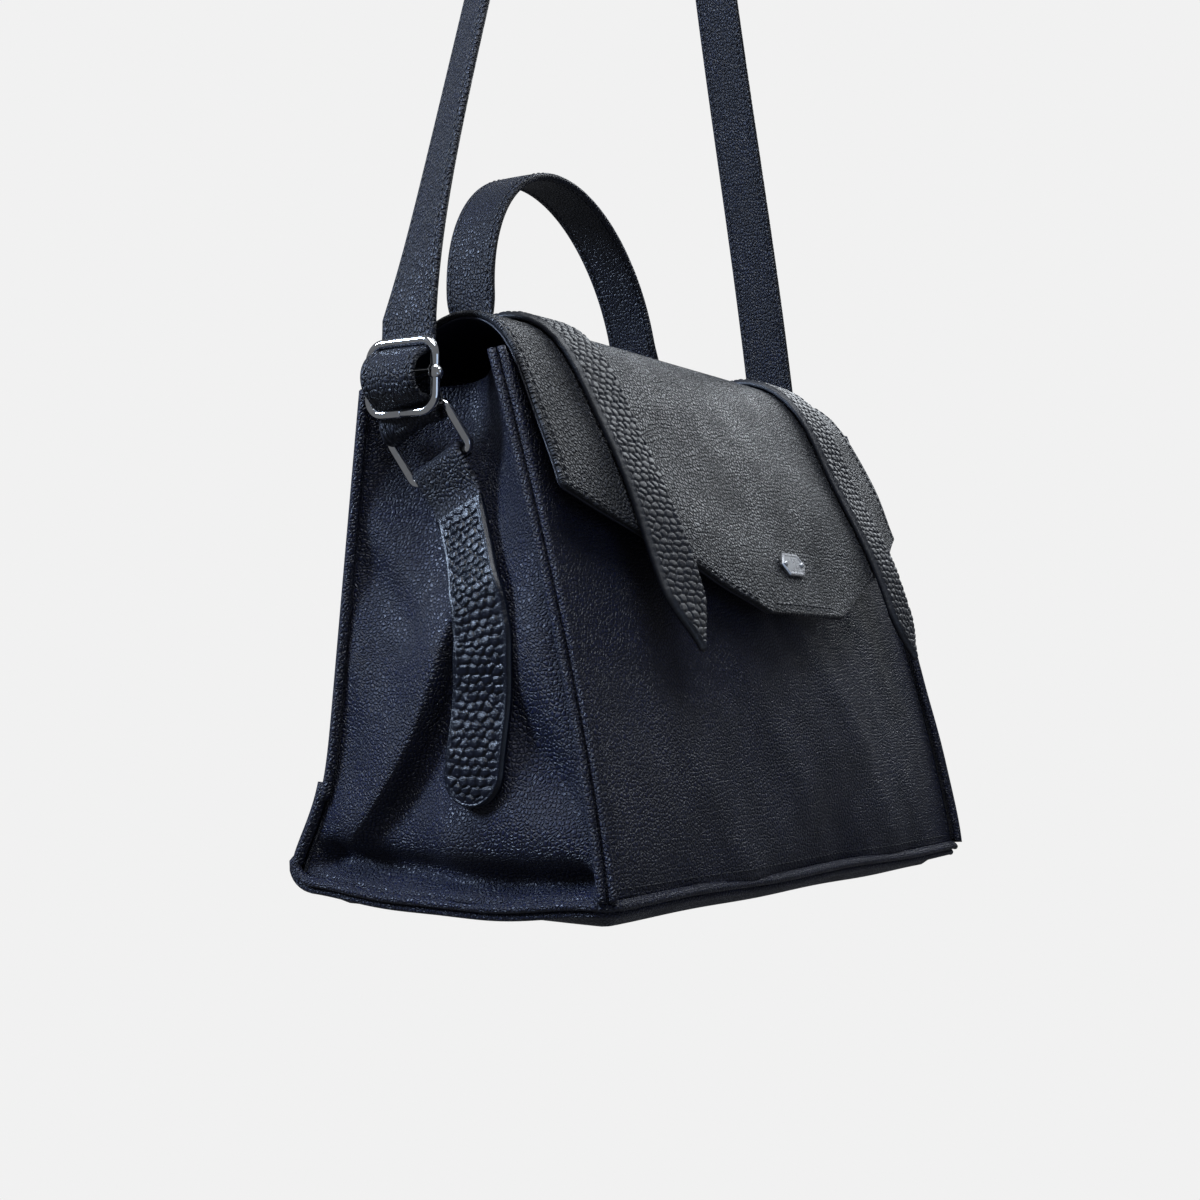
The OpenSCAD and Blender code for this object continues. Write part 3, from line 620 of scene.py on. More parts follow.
# the base seam runs down the turn-up, along the left side, across the front and back up the right
BACK_RIM = (-0.72, 0.69, 0.0)
SIDE_RIM = (-0.83, 0.0, -0.55)
FRONT_RIM = (0.0, -0.83, -0.55)
RIM_Z = 1.2
CORNER = 6
rim = [((0.2 - half_w(z), back_y(z) + 2.6, z), BACK_RIM) for z in spans(TURN_UP, 10, 16)]
corner_y, corner_z = HALF_DEPTH - 8, 10.0
for a in np.radians(range(10, 90, 10)):
    share = a / (math.pi / 2)
    place = (-HALF_WIDTH, corner_y + 9.5 * math.cos(a), corner_z - (corner_z - RIM_Z) * math.sin(a))
    rim.append((place, np.array(BACK_RIM) * (1 - share) + np.array(SIDE_RIM) * share))
rim += [((-HALF_WIDTH, y, RIM_Z - side_drop(y)), SIDE_RIM) for y in spans(corner_y, CORNER - HALF_DEPTH, 50)]
for a in np.radians(range(15, 90, 15)):
    share = a / (math.pi / 2)
    place = (CORNER - HALF_WIDTH - CORNER * math.cos(a), CORNER - HALF_DEPTH - CORNER * math.sin(a), RIM_Z)
    rim.append((place, np.array(SIDE_RIM) * (1 - share) + np.array(FRONT_RIM) * share))
half_count = len(rim)
rim += [((x, -HALF_DEPTH, RIM_Z + 0.5 * math.sin(x * 0.045)), FRONT_RIM)
        for x in spans(CORNER - HALF_WIDTH, HALF_WIDTH - CORNER, 90)]
rim += [((-p[0], p[1], p[2]), np.array(n) * [-1, 1, 1]) for p, n in rim[:half_count][::-1]]
base_path = np.array([p for p, n in rim])
heading = unit(np.gradient(base_path, axis=0))
outward = np.array([n for p, n in rim], float)
outward = unit(outward - heading * np.sum(outward * heading, axis=1, keepdims=True))
rib("seam_base", base_path, outward, np.cross(heading, outward), *BASE_SEAM, "welt_base")

seam_runs = []
z = spans(8, FRONT_TOP - 3, 200)
for s in (-1, 1):
    on = front_surface(s * (half_w(z) - 5.5), z)
    seam_runs.append((on - [0, 0.05, 0], np.tile([0, -0.97, 0.24], (200, 1))))
x = spans(CORNER - HALF_WIDTH, HALF_WIDTH - CORNER, 300)
seam_runs.append((front_surface(x, np.full(300, 7.5)), np.tile([0, -0.97, 0.24], (300, 1))))
stitches("body_stitches", seam_runs, THREAD_DARK)

# ---------------------------------------------------------------- inside of the bag
LINING_TOP = box_mm("lining")[1][2]


def inside_loop(z, inset, steps=26):
    """Closed outline of the inside of the body at one height, inset from its outer faces."""
    x = half_w(z) - inset
    y0, y1 = front_y(z) + inset, back_y(z) - inset
    t = spans(0, 1, steps)[:-1]
    front_x, back_x = -x + 2 * x * t, x - 2 * x * t
    sy = y0 + (y1 - y0) * t
    wall = side_surface(sy, z + 0 * sy, inset)[:, 0]
    wall_back = side_surface(sy[::-1], z + 0 * sy, inset)[:, 0]
    loop = np.concatenate([np.stack([front_x, front_y(z) - swell(front_x, z) + inset], 1),
                           np.stack([-wall, sy], 1),
                           np.stack([back_x, np.full(len(t), y1)], 1),
                           np.stack([wall_back, sy[::-1]], 1)])
    return np.concatenate([loop, np.full((len(loop), 1), z)], 1)


LINING_INSET, FLOOR_INSET, CLOTH = 6.4, 21.4, 0.8
floor_z = 1.5 + box_mm("base_board")[1][2]
levels = spans(9, LINING_TOP, 40)
outer_floor = inside_loop(9, FLOOR_INSET) * [1, 1, 0] + [0, 0, floor_z - CLOTH]
inner_floor = inside_loop(9, FLOOR_INSET + CLOTH) * [1, 1, 0] + [0, 0, floor_z]
rows = np.array([outer_floor] + [inside_loop(z, LINING_INSET) for z in levels]
                + [inside_loop(z, LINING_INSET + CLOTH) for z in levels[::-1]] + [inner_floor])
n_rows, n_cols = rows.shape[:2]
faces = grid_faces(n_rows, n_cols, wrap=True)
faces.append(tuple(reversed(range(n_cols))))
faces.append(tuple((n_rows - 1) * n_cols + j for j in range(n_cols)))
uv = np.stack([np.repeat(lengths(rows[5])[None], n_rows, 0), rows[..., 2]], -1).reshape(-1, 2)
make("lining_bag", rows.reshape(-1, 3), faces, LINING, uv, replaces=["lining"])

for end, surface, top, flip in (("front", front_surface, FRONT_TOP, 1), ("back", back_surface, BACK_TOP, -1)):
    facing = stretched(lambda x, z: surface(x, z, 2.5), spans(top - 34.5, top - 0.6, 20), 100, 6, flip)
    sheet(f"facing_{end}_leather", facing, 1.4, SMOOTH, replaces=[f"facing_{end}"])

pocket_low, pocket_high = box_mm("slip_pocket")
px = spans(pocket_low[0], pocket_high[0], 50)
pz = spans(pocket_low[2], pocket_high[2], 40)


def pocket_surface(x, z):
    stand = 12 * (1 - (x / pocket_high[0]) ** 2) * smooth((z - pocket_low[2]) / 60)
    y = back_y(z) - 8.0 - stand
    return np.stack([x + 0 * y, y, z + 0 * y], -1)


sheet("slip_pocket_cloth", panel_grid(px[::-1], pz, pocket_surface), CLOTH, LINING, replaces=["slip_pocket"])


# ---------------------------------------------------------------- flap
PROFILE_ROWS = np.arange(len(FLAP_PROFILE))


def soft_profile(k):
    """The flap's side view with its corners eased."""
    total = np.zeros((len(np.atleast_1d(k)), 2))
    for shift, weight in ((-0.5, 0.25), (0, 0.5), (0.5, 0.25)):
        q = np.clip(np.atleast_1d(k) + shift, 0, len(FLAP_PROFILE) - 1)
        total += weight * np.stack([np.interp(q, PROFILE_ROWS, FLAP_PROFILE[:, c]) for c in (0, 1)], 1)
    return total


def flap_point(x, k, height=0.0):
    """Points of the flap: x across, k along the profile, height above its inner face."""
    x, k = np.broadcast_arrays(np.asarray(x, float), np.asarray(k, float))
    shape = x.shape
    xf, kf = x.ravel(), k.ravel()
    p = soft_profile(kf)
    d = unit(soft_profile(kf + 0.4) - soft_profile(kf - 0.4))
    rise = smooth((kf - RIDGE_ROW) / (CORNER_ROW - RIDGE_ROW))
    y = p[:, 0] + d[:, 1] * height - FLAP_BULGE * (1 - (xf / FLAP_HALF) ** 2) * rise
    y -= ripple(xf, p[:, 1], FLAP_WAVES) * rise
    z = p[:, 1] - d[:, 0] * height - 1.6 * (1 - rise) * (xf / FLAP_HALF) ** 4
    return np.stack([xf, y, z], 1).reshape(*shape, 3)


def flap_half(k):
    rows, halves = (0, RIDGE_ROW, CORNER_ROW, NOSE_ROW), (FLAP_TOP_HALF, FLAP_TOP_HALF, FLAP_HALF, NOSE_HALF)
    return np.interp(k, rows, halves)


def flap_grid(k0, k1, rows, cols, height, margin=0.0):
    ks = spans(k0, k1, rows)
    u = spans(1, -1, cols)
    return np.array([flap_point(u * (flap_half(k) - margin), np.full(cols, k), height) for k in ks])


# the flap wears the lighter copy of the leather, with the light from above painted into its colour
sheet("flap_leather", flap_grid(0.1, NOSE_ROW, 130, 160, FLAP_LEATHER), FLAP_LEATHER, FLAP_PEBBLED_PAINTED_LIGHT,
      body="flap_body", replaces=["flap"])
sheet("flap_lining_leather", flap_grid(1, NOSE_ROW - 0.03, 90, 100, -0.3, 0.5), 1.0, SMOOTH,
      body="flap_body", replaces=["flap_lining"])

def flap_run(x, k):
    """A row of stitches on the flap: its points and the way its face looks there."""
    edge = flap_point(x, k, FLAP_LEATHER)
    return edge, unit(flap_point(x, k, FLAP_LEATHER + 1) - edge)


LAST_STITCH = NOSE_ROW - 0.25
k = spans(1.2, LAST_STITCH, 200)
inset = np.where(k > CORNER_ROW, 5.0, 3.2)
flap_runs = [flap_run(s * (flap_half(k) - inset), k) for s in (-1, 1)]
flap_runs.append(flap_run(spans(-NOSE_HALF + 5, NOSE_HALF - 5, 40), np.full(40, LAST_STITCH)))
stitches("flap_stitches", flap_runs, THREAD_DARK, body="flap_body")

ROOT_PROUD = 2.0
root_low, root_high = box_mm("flap_root")
rz = spans(root_low[2], root_high[2], 12)
rx = spans(root_low[0], root_high[0], 90)
sheet("flap_root_leather", panel_grid(rx, rz, lambda x, z: back_surface(x, z, -ROOT_PROUD)), 1.6, PEBBLED,
      replaces=["flap_root"])
root_runs = [(back_surface(rx, np.full(90, root_low[2] + up), -ROOT_PROUD), np.tile([0, 1.0, 0], (90, 1)))
             for up in (3, 8)]
stitches("root_stitches", root_runs, THREAD_DARK)


def scales(u, v, wide, long, seed, depth):
    """Height of embossed scales: flat-topped cells in staggered rows with narrow grooves between,
    each tipped a little."""
    rng = np.random.default_rng(seed)
    cells = 64
    jitter = rng.uniform(-0.27, 0.27, (cells, cells, 2))
    tips = rng.uniform(-0.5, 0.5, (cells, cells, 2))
    a, b = u / wide, v / long
    ia, ib = np.floor(a).astype(int), np.floor(b).astype(int)
    first, second = np.full(u.shape, 9.0), np.full(u.shape, 9.0)
    tip = np.zeros(u.shape)
    for dj in (-2, -1, 0, 1, 2):
        row = ib + dj
        for di in (-2, -1, 0, 1, 2):
            col = ia + di
            j = jitter[row % cells, col % cells]
            ca = col + 0.5 + 0.5 * (row % 2) + j[..., 0]
            cb = row + 0.5 + j[..., 1]
            d = np.hypot(a - ca, b - cb)
            lean = tips[row % cells, col % cells]
            closer = d < first
            second = np.where(closer, first, np.minimum(second, d))
            tip = np.where(closer, lean[..., 0] * (a - ca) + lean[..., 1] * (b - cb), tip)
            first = np.minimum(first, d)
    top = smooth((second - first) / 0.3)
    return depth * (top - 1 + (0.45 * tip - 0.35 * first ** 2) * top)


# the two straps on the flap
STRAP_HALF = 13.0
STRAP_THICK = 4.0
STRAP_X, STRAP_SPREAD = 101, 4
POINT_ROWS = 1.75
for side, s in (("left", -1), ("right", 1)):
    ks = spans(0.9, TIP_ROW, 430)
    taper = 1 - smooth((ks - (TIP_ROW - POINT_ROWS)) / POINT_ROWS) ** 1.15 * 0.93
    cols = 60
    u = spans(1, -1, cols)
    centre = s * (STRAP_X + STRAP_SPREAD * ks / TIP_ROW)
    grid = np.array([flap_point(c + u * STRAP_HALF * t, np.full(cols, k), FLAP_LEATHER + 0.3 + STRAP_THICK)
                     for c, t, k in zip(centre, taper, ks)])
    v = np.repeat(lengths(grid[:, cols // 2])[:, None], cols, 1)
    across = u[None] * STRAP_HALF * taper[:, None]
    relief = scales(across + 40, v, 5.0, 3.2, 5 + s, depth=0.8)
    from_edge = STRAP_HALF * taper[:, None] - np.abs(across)
    relief = relief * smooth(from_edge / 2.2) - 1.3 * (1 - smooth(from_edge / 1.3))
    sheet(f"flap_strap_{side}_leather", grid, STRAP_THICK - 0.4, MATT_SCALES, body="flap_body",
          replaces=[f"flap_strap_{side}"], relief=relief, round_edge=0.3)

# plate on the flap: a bevelled hexagon with a pin at each end
badge_mid = sum(box_mm("badge")) / 2
SLOPE = math.radians(24)
down = np.array([0, -math.sin(SLOPE), -math.cos(SLOPE)])
face = np.array([0, -math.cos(SLOPE), math.sin(SLOPE)])
right = np.array([1.0, 0, 0])


def hexagon(w, h, cut, height):
    """Corners of a long hexagon of half width w and half height h, at a height above the plate's middle."""
    pts = [(-w, 0), (-w + cut, -h), (w - cut, -h), (w, 0), (w - cut, h), (-w + cut, h)]
    return [badge_mid + right * a + down * b + face * height for a, b in pts]


verts = (hexagon(11, 5.5, 4, -0.75) + hexagon(11, 5.5, 4, 0.25) + hexagon(10.4, 5.0, 3.8, 0.75)
         + hexagon(9.4, 4.2, 3.4, 0.75) + hexagon(9.2, 4.0, 3.3, 0.6))
faces = grid_faces(5, 6, wrap=True)
faces += [tuple(reversed(range(6))), tuple(range(24, 30))]
badge = make("flap_plate", verts, faces, SATIN, body="flap_body", replaces=["badge"])
badge.data.polygons.foreach_set("use_smooth", [False] * len(badge.data.polygons))
dome = [(1.25, 0), (1.2, 0.35), (0.9, 0.62), (0.45, 0.78), (0.02, 0.82)]
for i, s in enumerate((-1, 1)):
    middle = badge_mid + right * s * 7.6 + face * 0.6
    ring = [[middle + r * (right * math.cos(a) + down * math.sin(a)) + face * h
             for a in np.radians(range(0, 360, 24))] for r, h in dome]
    faces = [f[::-1] for f in grid_faces(5, 15, wrap=True)] + [tuple(range(15))]
    make(f"plate_pin_{i}", np.array(ring).reshape(-1, 3), faces, SATIN, body="flap_body")


def turned(name, node, radii, body):
    """A round fitting on the snap's axis: radii are (radius, height) from its low face."""
    middle = sum(box_mm(node)) / 2
    rings = [[middle + r * (right * math.cos(a) - down * math.sin(a)) + face * h
              for a in np.radians(range(0, 360, 9))] for r, h in radii]
    faces = grid_faces(len(radii), 40, wrap=True)
    faces += [tuple(reversed(range(40))), tuple((len(radii) - 1) * 40 + j for j in range(40))]
    make(name, np.array(rings).reshape(-1, 3), faces, SNAP, body=body, replaces=[node])


turned("snap_flap_half", "snap_stud", [(7.6, -0.8), (8, -0.4), (8, 0.4), (7.6, 0.8), (3, 0.8)], "flap_body")
turned("snap_front_half", "snap_socket",
       [(7.6, -0.8), (8, -0.4), (8, 0.4), (7.4, 0.75), (4, 0.75), (3.6, 0.2), (0.5, 0.2)], "bag")

# ---------------------------------------------------------------- rings, sliders and side tabs
WIRE = 4.0


def turned_about(p, degrees, i, j):
    """Points turned from axis i towards axis j."""
    c, n = math.cos(math.radians(degrees)), math.sin(math.radians(degrees))
    out = np.array(p, float)
    out[..., i], out[..., j] = out[..., i] * c - out[..., j] * n, out[..., i] * n + out[..., j] * c
    return out


def wire_loop(width, height, corner, cut=0.0):
    """Middle line of a bent wire rectangle in the YZ plane; cut leaves its ends apart below."""
    y, z = width / 2 - WIRE / 2 - corner, height / 2 - WIRE / 2 - corner
    pts = []
    for cy, cz, a0 in ((y, -z, -90), (y, z, 0), (-y, z, 90), (-y, -z, 180)):
        for a in np.radians(spans(a0, a0 + 90, 13)):
            pts.append((0, cy + corner * math.cos(a), cz + corner * math.sin(a)))
    if cut:
        floor = -height / 2 + WIRE / 2
        pts = [(0, cut / 2, floor)] + pts + [(0, -cut / 2, floor)]
    return np.array(pts)


RING_FOOT = np.array([-148.5, 16.0, 172.0])
RING_TILT, RING_LEAN, RING_HEIGHT, RING_WIDTH = 28, 15, 26, 36
SLIDER = sum(box_mm("slider_left")) / 2
SLIDER_WIDTH, SLIDER_HEIGHT = 38, 33
END_ROUND = 0.35
BAR_LIFT = 1
COLLAR_HEIGHTS = (-1.4, -2.3, -2.5, -1.2, 1.2, 2.5, 2.3, 1.4)
COLLAR_RADII = np.array([2.05, 2.15, 2.5, 2.95, 2.95, 2.5, 2.15, 2.05])


def at_ring(p):
    """From the ring's own axes (its lower bar at 0, its height along z) to the bag."""
    return turned_about(turned_about(p, -RING_LEAN, 2, 0), -RING_TILT, 1, 2) + RING_FOOT


def mirrored(p, s):
    return p if s < 0 else p * [-1, 1, 1]


ring_line = at_ring(wire_loop(RING_WIDTH, RING_HEIGHT, 3.2) + [0, 0, RING_HEIGHT / 2 - WIRE / 2])
slider_line = wire_loop(SLIDER_WIDTH, SLIDER_HEIGHT, 7.0, cut=0.35) + SLIDER
for side, s in (("left", -1), ("right", 1)):
    tube(f"ring_{side}_wire", mirrored(ring_line, s), WIRE / 2 - 0.05, NICKEL,
         replaces=[f"ring_{side}"], closed=True, sides=20)
    # the frame's two ends meet under it, each slightly rounded
    line = np.concatenate([slider_line[:1], slider_line[:1] + [0, END_ROUND, 0], slider_line[1:-1],
                           slider_line[-1:] - [0, END_ROUND, 0], slider_line[-1:]])
    shape = np.full(len(line), WIRE / 2 - 0.03)
    shape[0] = shape[-1] = WIRE / 2 - END_ROUND
    tube(f"slider_{side}_wire", mirrored(line, s), shape, NICKEL, replaces=[f"slider_{side}"], sides=20)
    # centre bar: a thin rod whose ends wrap the frame in a collar with a rounded knob outside
    y = np.concatenate([[-20.7, -20.5, -20.1, -19.4], spans(-15, 15, 9), [19.4, 20.1, 20.5, 20.7]])
    radius = np.concatenate([[0.2, 1.1, 1.7, 2.0], np.full(9, 1.45), [2.0, 1.7, 1.1, 0.2]])
    rod = np.stack([0 * y, y, 0 * y + BAR_LIFT], 1) + SLIDER
    tube(f"slider_bar_{side}_rod", mirrored(rod, s), radius, NICKEL, replaces=[f"slider_bar_{side}"])
    for i, end in enumerate((-17, 17)):
        collar = np.array([(0, end, z + BAR_LIFT) for z in COLLAR_HEIGHTS]) + SLIDER
        tube(f"slider_collar_{side}_{i}", mirrored(collar, s), COLLAR_RADII, NICKEL, sides=24)

# middle line of the left tab as (y, z), from its round end up to the ring
TAB_LINE = np.array([(-17, 35.5), (-17, 40), (-17, 48), (-17.5, 64), (-17.5, 82), (-16.9, 100), (-12.8, 116),
                     (-5.2, 131), (3, 146), (9.5, 160)])
TAB_THICK = 3.4
TAB_HALF, LOOP_HALF = 14, 12


def tab_outline(t):
    """Half width of the tab along its length, from its round end to its loop."""
    round_end = np.sqrt(np.clip(1 - (1 - np.clip(t / TAB_HALF, 0, 1)) ** 2, 0, 1))
    return (TAB_HALF - (TAB_HALF - LOOP_HALF) * smooth((t - 60) / 50)) * np.maximum(round_end, 0.12)


for side, s in (("left", -1), ("right", 1)):
    length = lengths(np.c_[TAB_LINE, 0 * TAB_LINE[:, 0]])
    t = np.concatenate([spans(0, TAB_HALF, 44), spans(TAB_HALF, length[-1], 260)[1:]])
    ly, lz = np.interp(t, length, TAB_LINE[:, 0]), np.interp(t, length, TAB_LINE[:, 1])
    kernel = np.ones(15) / 15
    ly[12:-12] = np.convolve(ly, kernel, "same")[12:-12]
    direction = unit(np.stack([np.gradient(ly), np.gradient(lz)], 1))
    cols = 62
    u = spans(-1, 1, cols)
    half = tab_outline(t)
    grid = []
    for y0, z0, d, w in zip(ly, lz, direction, half):
        y, z = y0 + d[1] * w * u, z0 - d[0] * w * u
        grid.append(side_surface(y, z, -1.0 - TAB_THICK))
    grid = np.array(grid)
    # the tab is too stiff to follow the creases, so it bridges them
    level = grid[..., 0].min(axis=1)
    level = np.convolve(np.pad(level, 20, mode="edge"), np.ones(41) / 41, "valid")
    grid[..., 0] = level[:, None] + 0.35 * (u ** 2)[None]
    # the upper end carries on over the ring's lower bar and back behind it
    loop = [(-3.55 * math.cos(a) - 0.1, 0, 3.55 * math.sin(a)) for a in np.radians(spans(0, 200, 26))]
    bar = np.array([(0, LOOP_HALF * w, 0) for w in u])
    loop = at_ring(np.array(loop)[:, None] + bar)
    outer_loop = loop + (loop - at_ring(bar)) * 0.42
    start = grid[-1]
    joined = np.concatenate([grid, [start + (outer_loop[0] - start) * f for f in (0.25, 0.5, 0.75)], outer_loop])
    v = np.repeat(lengths(joined[:, cols // 2])[:, None], cols, 1)
    widths = np.concatenate([half, np.full(len(joined) - len(half), float(LOOP_HALF))])
    across = u[None] * widths[:, None]
    from_end = TAB_HALF - np.hypot(across, TAB_HALF - np.minimum(v, TAB_HALF))
    end_rim = np.minimum(widths[:, None] - np.abs(across), np.where(v < TAB_HALF, from_end, 99))
    relief = scales(across + 60, v + 9, 4.6, 3.6, 11 + s, depth=1.0) * smooth((end_rim - 2.4) / 1.2)
    relief -= 1.2 * (1 - smooth(end_rim / 1.2)) + 0.3 * np.exp(-((end_rim - 2.2) / 0.5) ** 2)
    relief *= smooth((v[len(grid) - 1, 0] - 5 - v) / 9)
    if s < 0:
        joined, relief = joined[:, ::-1], relief[:, ::-1]
    else:
        joined = joined * [-1, 1, 1]
    tab = sheet(f"side_tab_{side}_leather", joined, 2.7, SCALES,
                replaces=[f"side_tab_{side}"], relief=relief, round_edge=0.25)

    # the loop above the embossed part is plain pebbled leather
    tab.data.materials.append(STRAP_PEBBLED)
    around = 2 * cols + 2
    slots = np.zeros(len(tab.data.polygons), int)
    slots[(len(grid) - 14) * around:(len(joined) - 1) * around] = 1
    tab.data.polygons.foreach_set("material_index", slots)

# ---------------------------------------------------------------- shoulder strap, from slider to slider
STRAP_WIDTH = 27.5
STRAP_TURN = 30.0
HANG_RADIUS = 22
hang_r = HANG_RADIUS + 1.8
bend_middle = -ORIGIN[2] / MM - HANG_RADIUS
hang_y = -ORIGIN[1] / MM
# foot, reach and leave are (x, z) of the left leg: where it starts, and where it meets the bend
foot = np.array([SLIDER[0] + 3.9, 232.6])
reach = np.array([foot[0], bend_middle - foot[1]])
leg_angle = math.degrees(math.atan2(reach[1], -reach[0]) + math.asin(hang_r / np.hypot(*reach)))
leave = np.array([-hang_r * math.sin(math.radians(leg_angle)),
                  bend_middle + hang_r * math.cos(math.radians(leg_angle))])


def leg(side, t):
    """Points up one leg of the strap, t from 0 at its slider to 1 at the bend; each leg sways a little."""
    x = foot[0] + (leave[0] - foot[0]) * t
    z = foot[1] + (leave[1] - foot[1]) * t
    wave = np.sin(math.pi * np.clip(t, 0, 1)) ** 2
    return np.stack([side * (-x - 6 * wave), hang_y + (4 if side > 0 else -6) * wave, z], 1)


# through the slider and ring, in the XZ plane: (outward, up) from the slider's middle
THREADED = [(-3.0, 3.4), (-4.6, -1.5), (-8.0, -8), (-10.6, -13.5), (-10.9, -16), (-9.9, -18.6),
            (-7.8, -19.9), (-5.6, -19.2), (-4.4, -17.2), (-3.9, -15), (-3.6, -12.6), (-1.0, -10.6),
            (4.0, -9.0), (8.4, -5.4), (10.0, 0), (8.4, 5.4), (4.0, 9.0), (-1.0, 10.8), (-3.6, 14.2),
            (-3.9, 20), (-3.9, 25)]
threaded = np.array([(SLIDER[0] - a, SLIDER[1], SLIDER[2] + b) for a, b in THREADED])
threaded_widths = np.array([(0, 1.0, 0)] * len(threaded))
tilt = math.radians(RING_TILT)
for i in range(2, 12):
    f = math.sin(math.pi * (i - 1) / 11) ** 0.8
    threaded_widths[i] = (0, math.cos(tilt * f), -math.sin(tilt * f))


def eased(points, times):
    """A polyline with its corners cut, ends kept."""
    for _ in range(times):
        q = points[:-1] * 0.75 + points[1:] * 0.25
        r = points[:-1] * 0.25 + points[1:] * 0.75
        points = np.concatenate([points[:1], np.stack([q, r], 1).reshape(-1, points.shape[1]), points[-1:]])
    return points


left_end = eased(np.c_[threaded, threaded_widths], 2)
left_leg = leg(-1, spans(0.003, 1, 150))
BEND_STEPS = 38
bend_a = np.radians(spans(-leg_angle, leg_angle, BEND_STEPS + 2)[1:-1])
bend = np.stack([hang_r * np.sin(bend_a), np.full(BEND_STEPS, hang_y), bend_middle + hang_r * np.cos(bend_a)], 1)
right_leg = leg(1, spans(1, 0.003, 150))


def leg_widths(points, side):
    """Width directions up a leg, which turns from the slider's to the bend's."""
    rise = points[:, 2] - foot[1]
    share = np.minimum(1, rise / (leave[1] - foot[1])) if side > 0 else 1 - np.exp(-rise / 35)
    turn = np.radians(STRAP_TURN * share)
    return np.stack([np.sin(turn), np.cos(turn), 0 * turn], 1)


whole = np.concatenate([left_end[:, :3], left_leg, bend, right_leg, left_end[::-1, :3] * [-1, 1, 1]])
strap_turn = math.radians(STRAP_TURN)
bend_widths = np.tile([math.sin(strap_turn), math.cos(strap_turn), 0], (BEND_STEPS, 1))
widths = np.concatenate([left_end[:, 3:], leg_widths(left_leg, -1), bend_widths, leg_widths(right_leg, 1),
                         left_end[::-1, 3:] * [-1, 1, 1]])
strap = band("shoulder_strap_leather", whole, widths, strap_section(STRAP_WIDTH, 3.0), STRAP_PEBBLED, body=None,
             replaces=["shoulder_strap", "strap_end_left", "strap_end_right"])


def edge_runs(path, widths, inset, height):
    """Stitch rows along both edges of a strap, on both of its faces."""
    _, wide, normal = frames(path, widths)
    return [(path + wide * s * inset + normal * f * height, normal * f) for s in (-1, 1) for f in (-1, 1)]


strap_runs = edge_runs(whole, widths, STRAP_WIDTH / 2 - 3.0, 1.45)
strap_thread = stitches("shoulder_strap_stitches", strap_runs, THREAD_DARK, body=None)
for piece in (strap, strap_thread):
    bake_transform(piece)

# ---------------------------------------------------------------- handle
handle_low, handle_high = box_mm("handle")
HANDLE_FOOT = handle_low[2]
HANDLE_TOP = handle_high[2] - 1.7
HANDLE_WIDTH, HANDLE_THICK = 27, 3.2
SPAN = 70.0
STRAIGHT = 250.0
HANDLE_SKEW = 17.0
HANDLE_HINGE = 199.5
angle = np.radians(spans(0, 180, 90))
leg_z = spans(HANDLE_FOOT, STRAIGHT, 40)[:-1]
arch = np.stack([-SPAN * np.cos(angle) - HANDLE_SKEW * np.sin(angle),
                 STRAIGHT + (HANDLE_TOP - STRAIGHT) * np.sin(angle)], 1)
line = np.concatenate([np.stack([np.full(39, -SPAN), leg_z], 1), arch,
                       np.stack([np.full(39, SPAN), leg_z[::-1]], 1)])
lean = back_y(HANDLE_HINGE) + 4 + 6 * smooth((line[:, 1] - HANDLE_HINGE) / 40)
handle_path = np.stack([line[:, 0], lean, line[:, 1]], 1)
tangent = unit(np.gradient(handle_path, axis=0))
turn = np.radians(90 * smooth((line[:, 1] - 212) / 50))[:, None]
flat = np.cross(tangent, [0, 1.0, 0])
handle_width = flat * np.cos(turn) - np.array([0, 1.0, 0]) * np.sin(turn)
handle_section = strap_section(HANDLE_WIDTH, HANDLE_THICK, crown=0.35, groove=0.3)
handle = band("handle_leather", handle_path, handle_width, handle_section, STRAP_PEBBLED,
              body=None, replaces=["handle"])
handle_runs = edge_runs(handle_path, handle_width, HANDLE_WIDTH / 2 - 3.0, HANDLE_THICK / 2)
handle_thread = stitches("handle_stitches", handle_runs, THREAD_DARK, body=None)
for piece in (handle, handle_thread):
    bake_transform(piece)

PATCH_PROUD = 4.7
for side in ("left", "right"):
    low, high = box_mm(f"handle_root_{side}")
    xs, zs = spans(low[0], high[0], 30), spans(low[2], high[2], 40)
    sheet(f"handle_root_{side}_leather", panel_grid(xs, zs, lambda x, z: back_surface(x, z, -PATCH_PROUD)), 2.4,
          STRAP_PEBBLED, replaces=[f"handle_root_{side}"])
    x0, x1, z0, z1 = low[0] + 3, high[0] - 3, low[2] + 3, high[2] - 3
    box_run = resample(np.array([(x0, 0, z1), (x0, 0, z0), (x1, 0, z0), (x1, 0, z1)]), 1)
    on = back_surface(box_run[:, 0], box_run[:, 2], -PATCH_PROUD)
    stitches(f"handle_root_{side}_stitches", [(on, np.tile([0, 1.0, 0], (len(on), 1)))], THREAD_DARK)

# ---------------------------------------------------------------- stage: floor, light and camera
PALE = 0.88
pale, tree, _ = shader("pale_studio")
tree.nodes.clear()
glow = add(tree, "Emission", "Emission", {"Color": (1, 1, 1, 1), "Strength": PALE})
feed(tree, tree.nodes.new("ShaderNodeOutputMaterial"), {"Surface": glow})


def stage_mesh(name, verts, faces):
    """Part of the plain surroundings: seen by the camera alone, so it neither lights nor shades."""
    mesh = bpy.data.meshes.new(name)
    mesh.from_pydata(verts, [], faces)
    mesh.materials.append(pale)
    obj = bpy.data.objects.new(name, mesh)
    bpy.context.scene.collection.objects.link(obj)
    obj.visible_diffuse = obj.visible_glossy = obj.visible_transmission = obj.visible_shadow = False


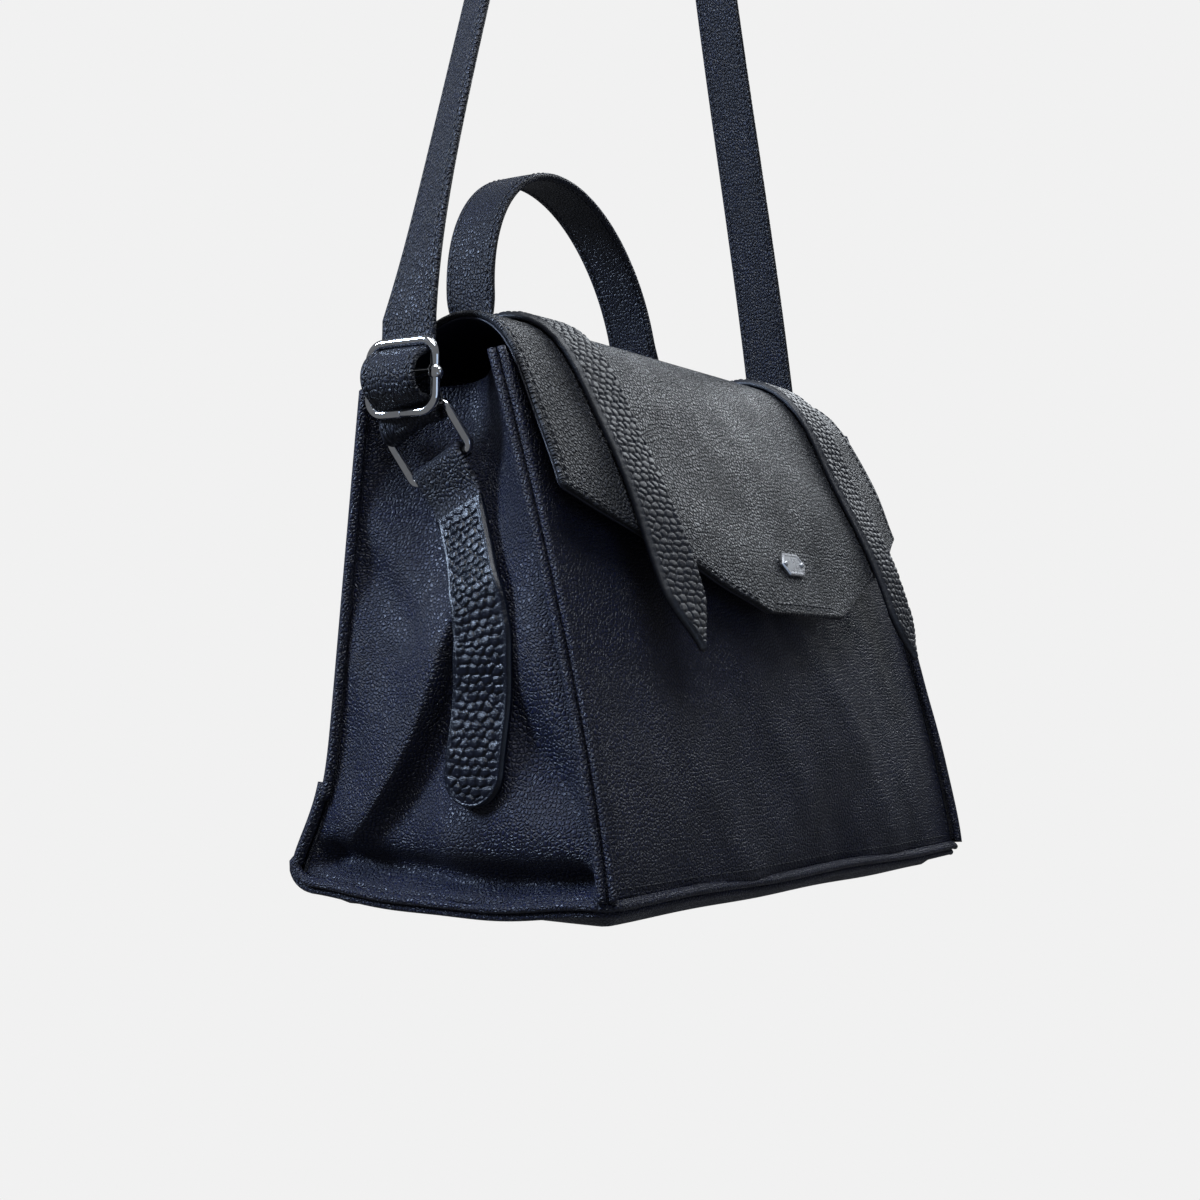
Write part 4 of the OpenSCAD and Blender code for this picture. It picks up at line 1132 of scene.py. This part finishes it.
FLOOR_Z = cad_box[0][2] - 0.6
FLOOR_HALF = 9
stage_mesh("floor", [(FLOOR_HALF * a, FLOOR_HALF * b, FLOOR_Z) for a, b in ((-1, -1), (1, -1), (1, 1), (-1, 1))],
           [(0, 1, 2, 3)])
ring_a = np.radians(np.arange(0, 360, 10))
dome_rows = [(8.5, FLOOR_Z - 0.5), (8.5, 2), (7, 5), (4, 7), (0.01, 8)]
dome = [(r * math.cos(a), r * math.sin(a), z) for r, z in dome_rows for a in ring_a]
stage_mesh("backdrop", dome, grid_faces(len(dome_rows), len(ring_a), wrap=True))

world = bpy.data.worlds.new("studio")
bpy.context.scene.world = world
world.use_nodes = True
sky = world.node_tree.nodes["Background"]
feed(world.node_tree, sky, {"Color": (0.9, 0.94, 1, 1), "Strength": 0.16})


def area_light(name, offset, size, power, colour):
    """A soft rectangle of light, offset from the middle of the bag in metres and aimed at it."""
    data = bpy.data.lights.new(name, "AREA")
    data.shape = "RECTANGLE"
    data.size, data.size_y = size
    data.energy = power
    data.color = colour
    obj = bpy.data.objects.new(name, data)
    bpy.context.scene.collection.objects.link(obj)
    obj.location = bag_middle + offset
    obj.rotation_euler = Vector(-np.array(offset)).to_track_quat("-Z", "Y").to_euler()


bag_middle = ORIGIN + np.array([0, 0, 0.12])
area_light("top_softbox", [-0.6, -0.35, 1.75], (1.2, 1.0), 33, (0.9, 0.95, 1))
area_light("right_softbox", [1.7, 0.15, 1.25], (1.2, 1.2), 21, (0.9, 0.95, 1))
area_light("left_softbox", [-1.35, 1.25, 1.15], (0.5, 0.6), 58, (0.6, 0.75, 1))
area_light("front_fill", [-0.6, -2.0, 0.1], (1.2, 1.2), 4, (0.55, 0.72, 1))

CAMERA_AZIMUTH = -56.83
CAMERA_PITCH = 2.59
CAMERA_ROLL = -0.44
CAMERA_PLACE = (-738.8, -446.9, 84.3)
camera_data = bpy.data.cameras.new("camera")
camera_data.sensor_width = 36
camera_data.lens = 55.25
camera_data.clip_end = 60
camera = bpy.data.objects.new("camera", camera_data)
bpy.context.scene.collection.objects.link(camera)
camera.location = np.array(CAMERA_PLACE) * MM + ORIGIN
camera.rotation_euler = (math.radians(90 + CAMERA_PITCH), math.radians(CAMERA_ROLL), math.radians(CAMERA_AZIMUTH))
bpy.context.scene.camera = camera
bpy.context.scene.view_settings.view_transform = "Standard"
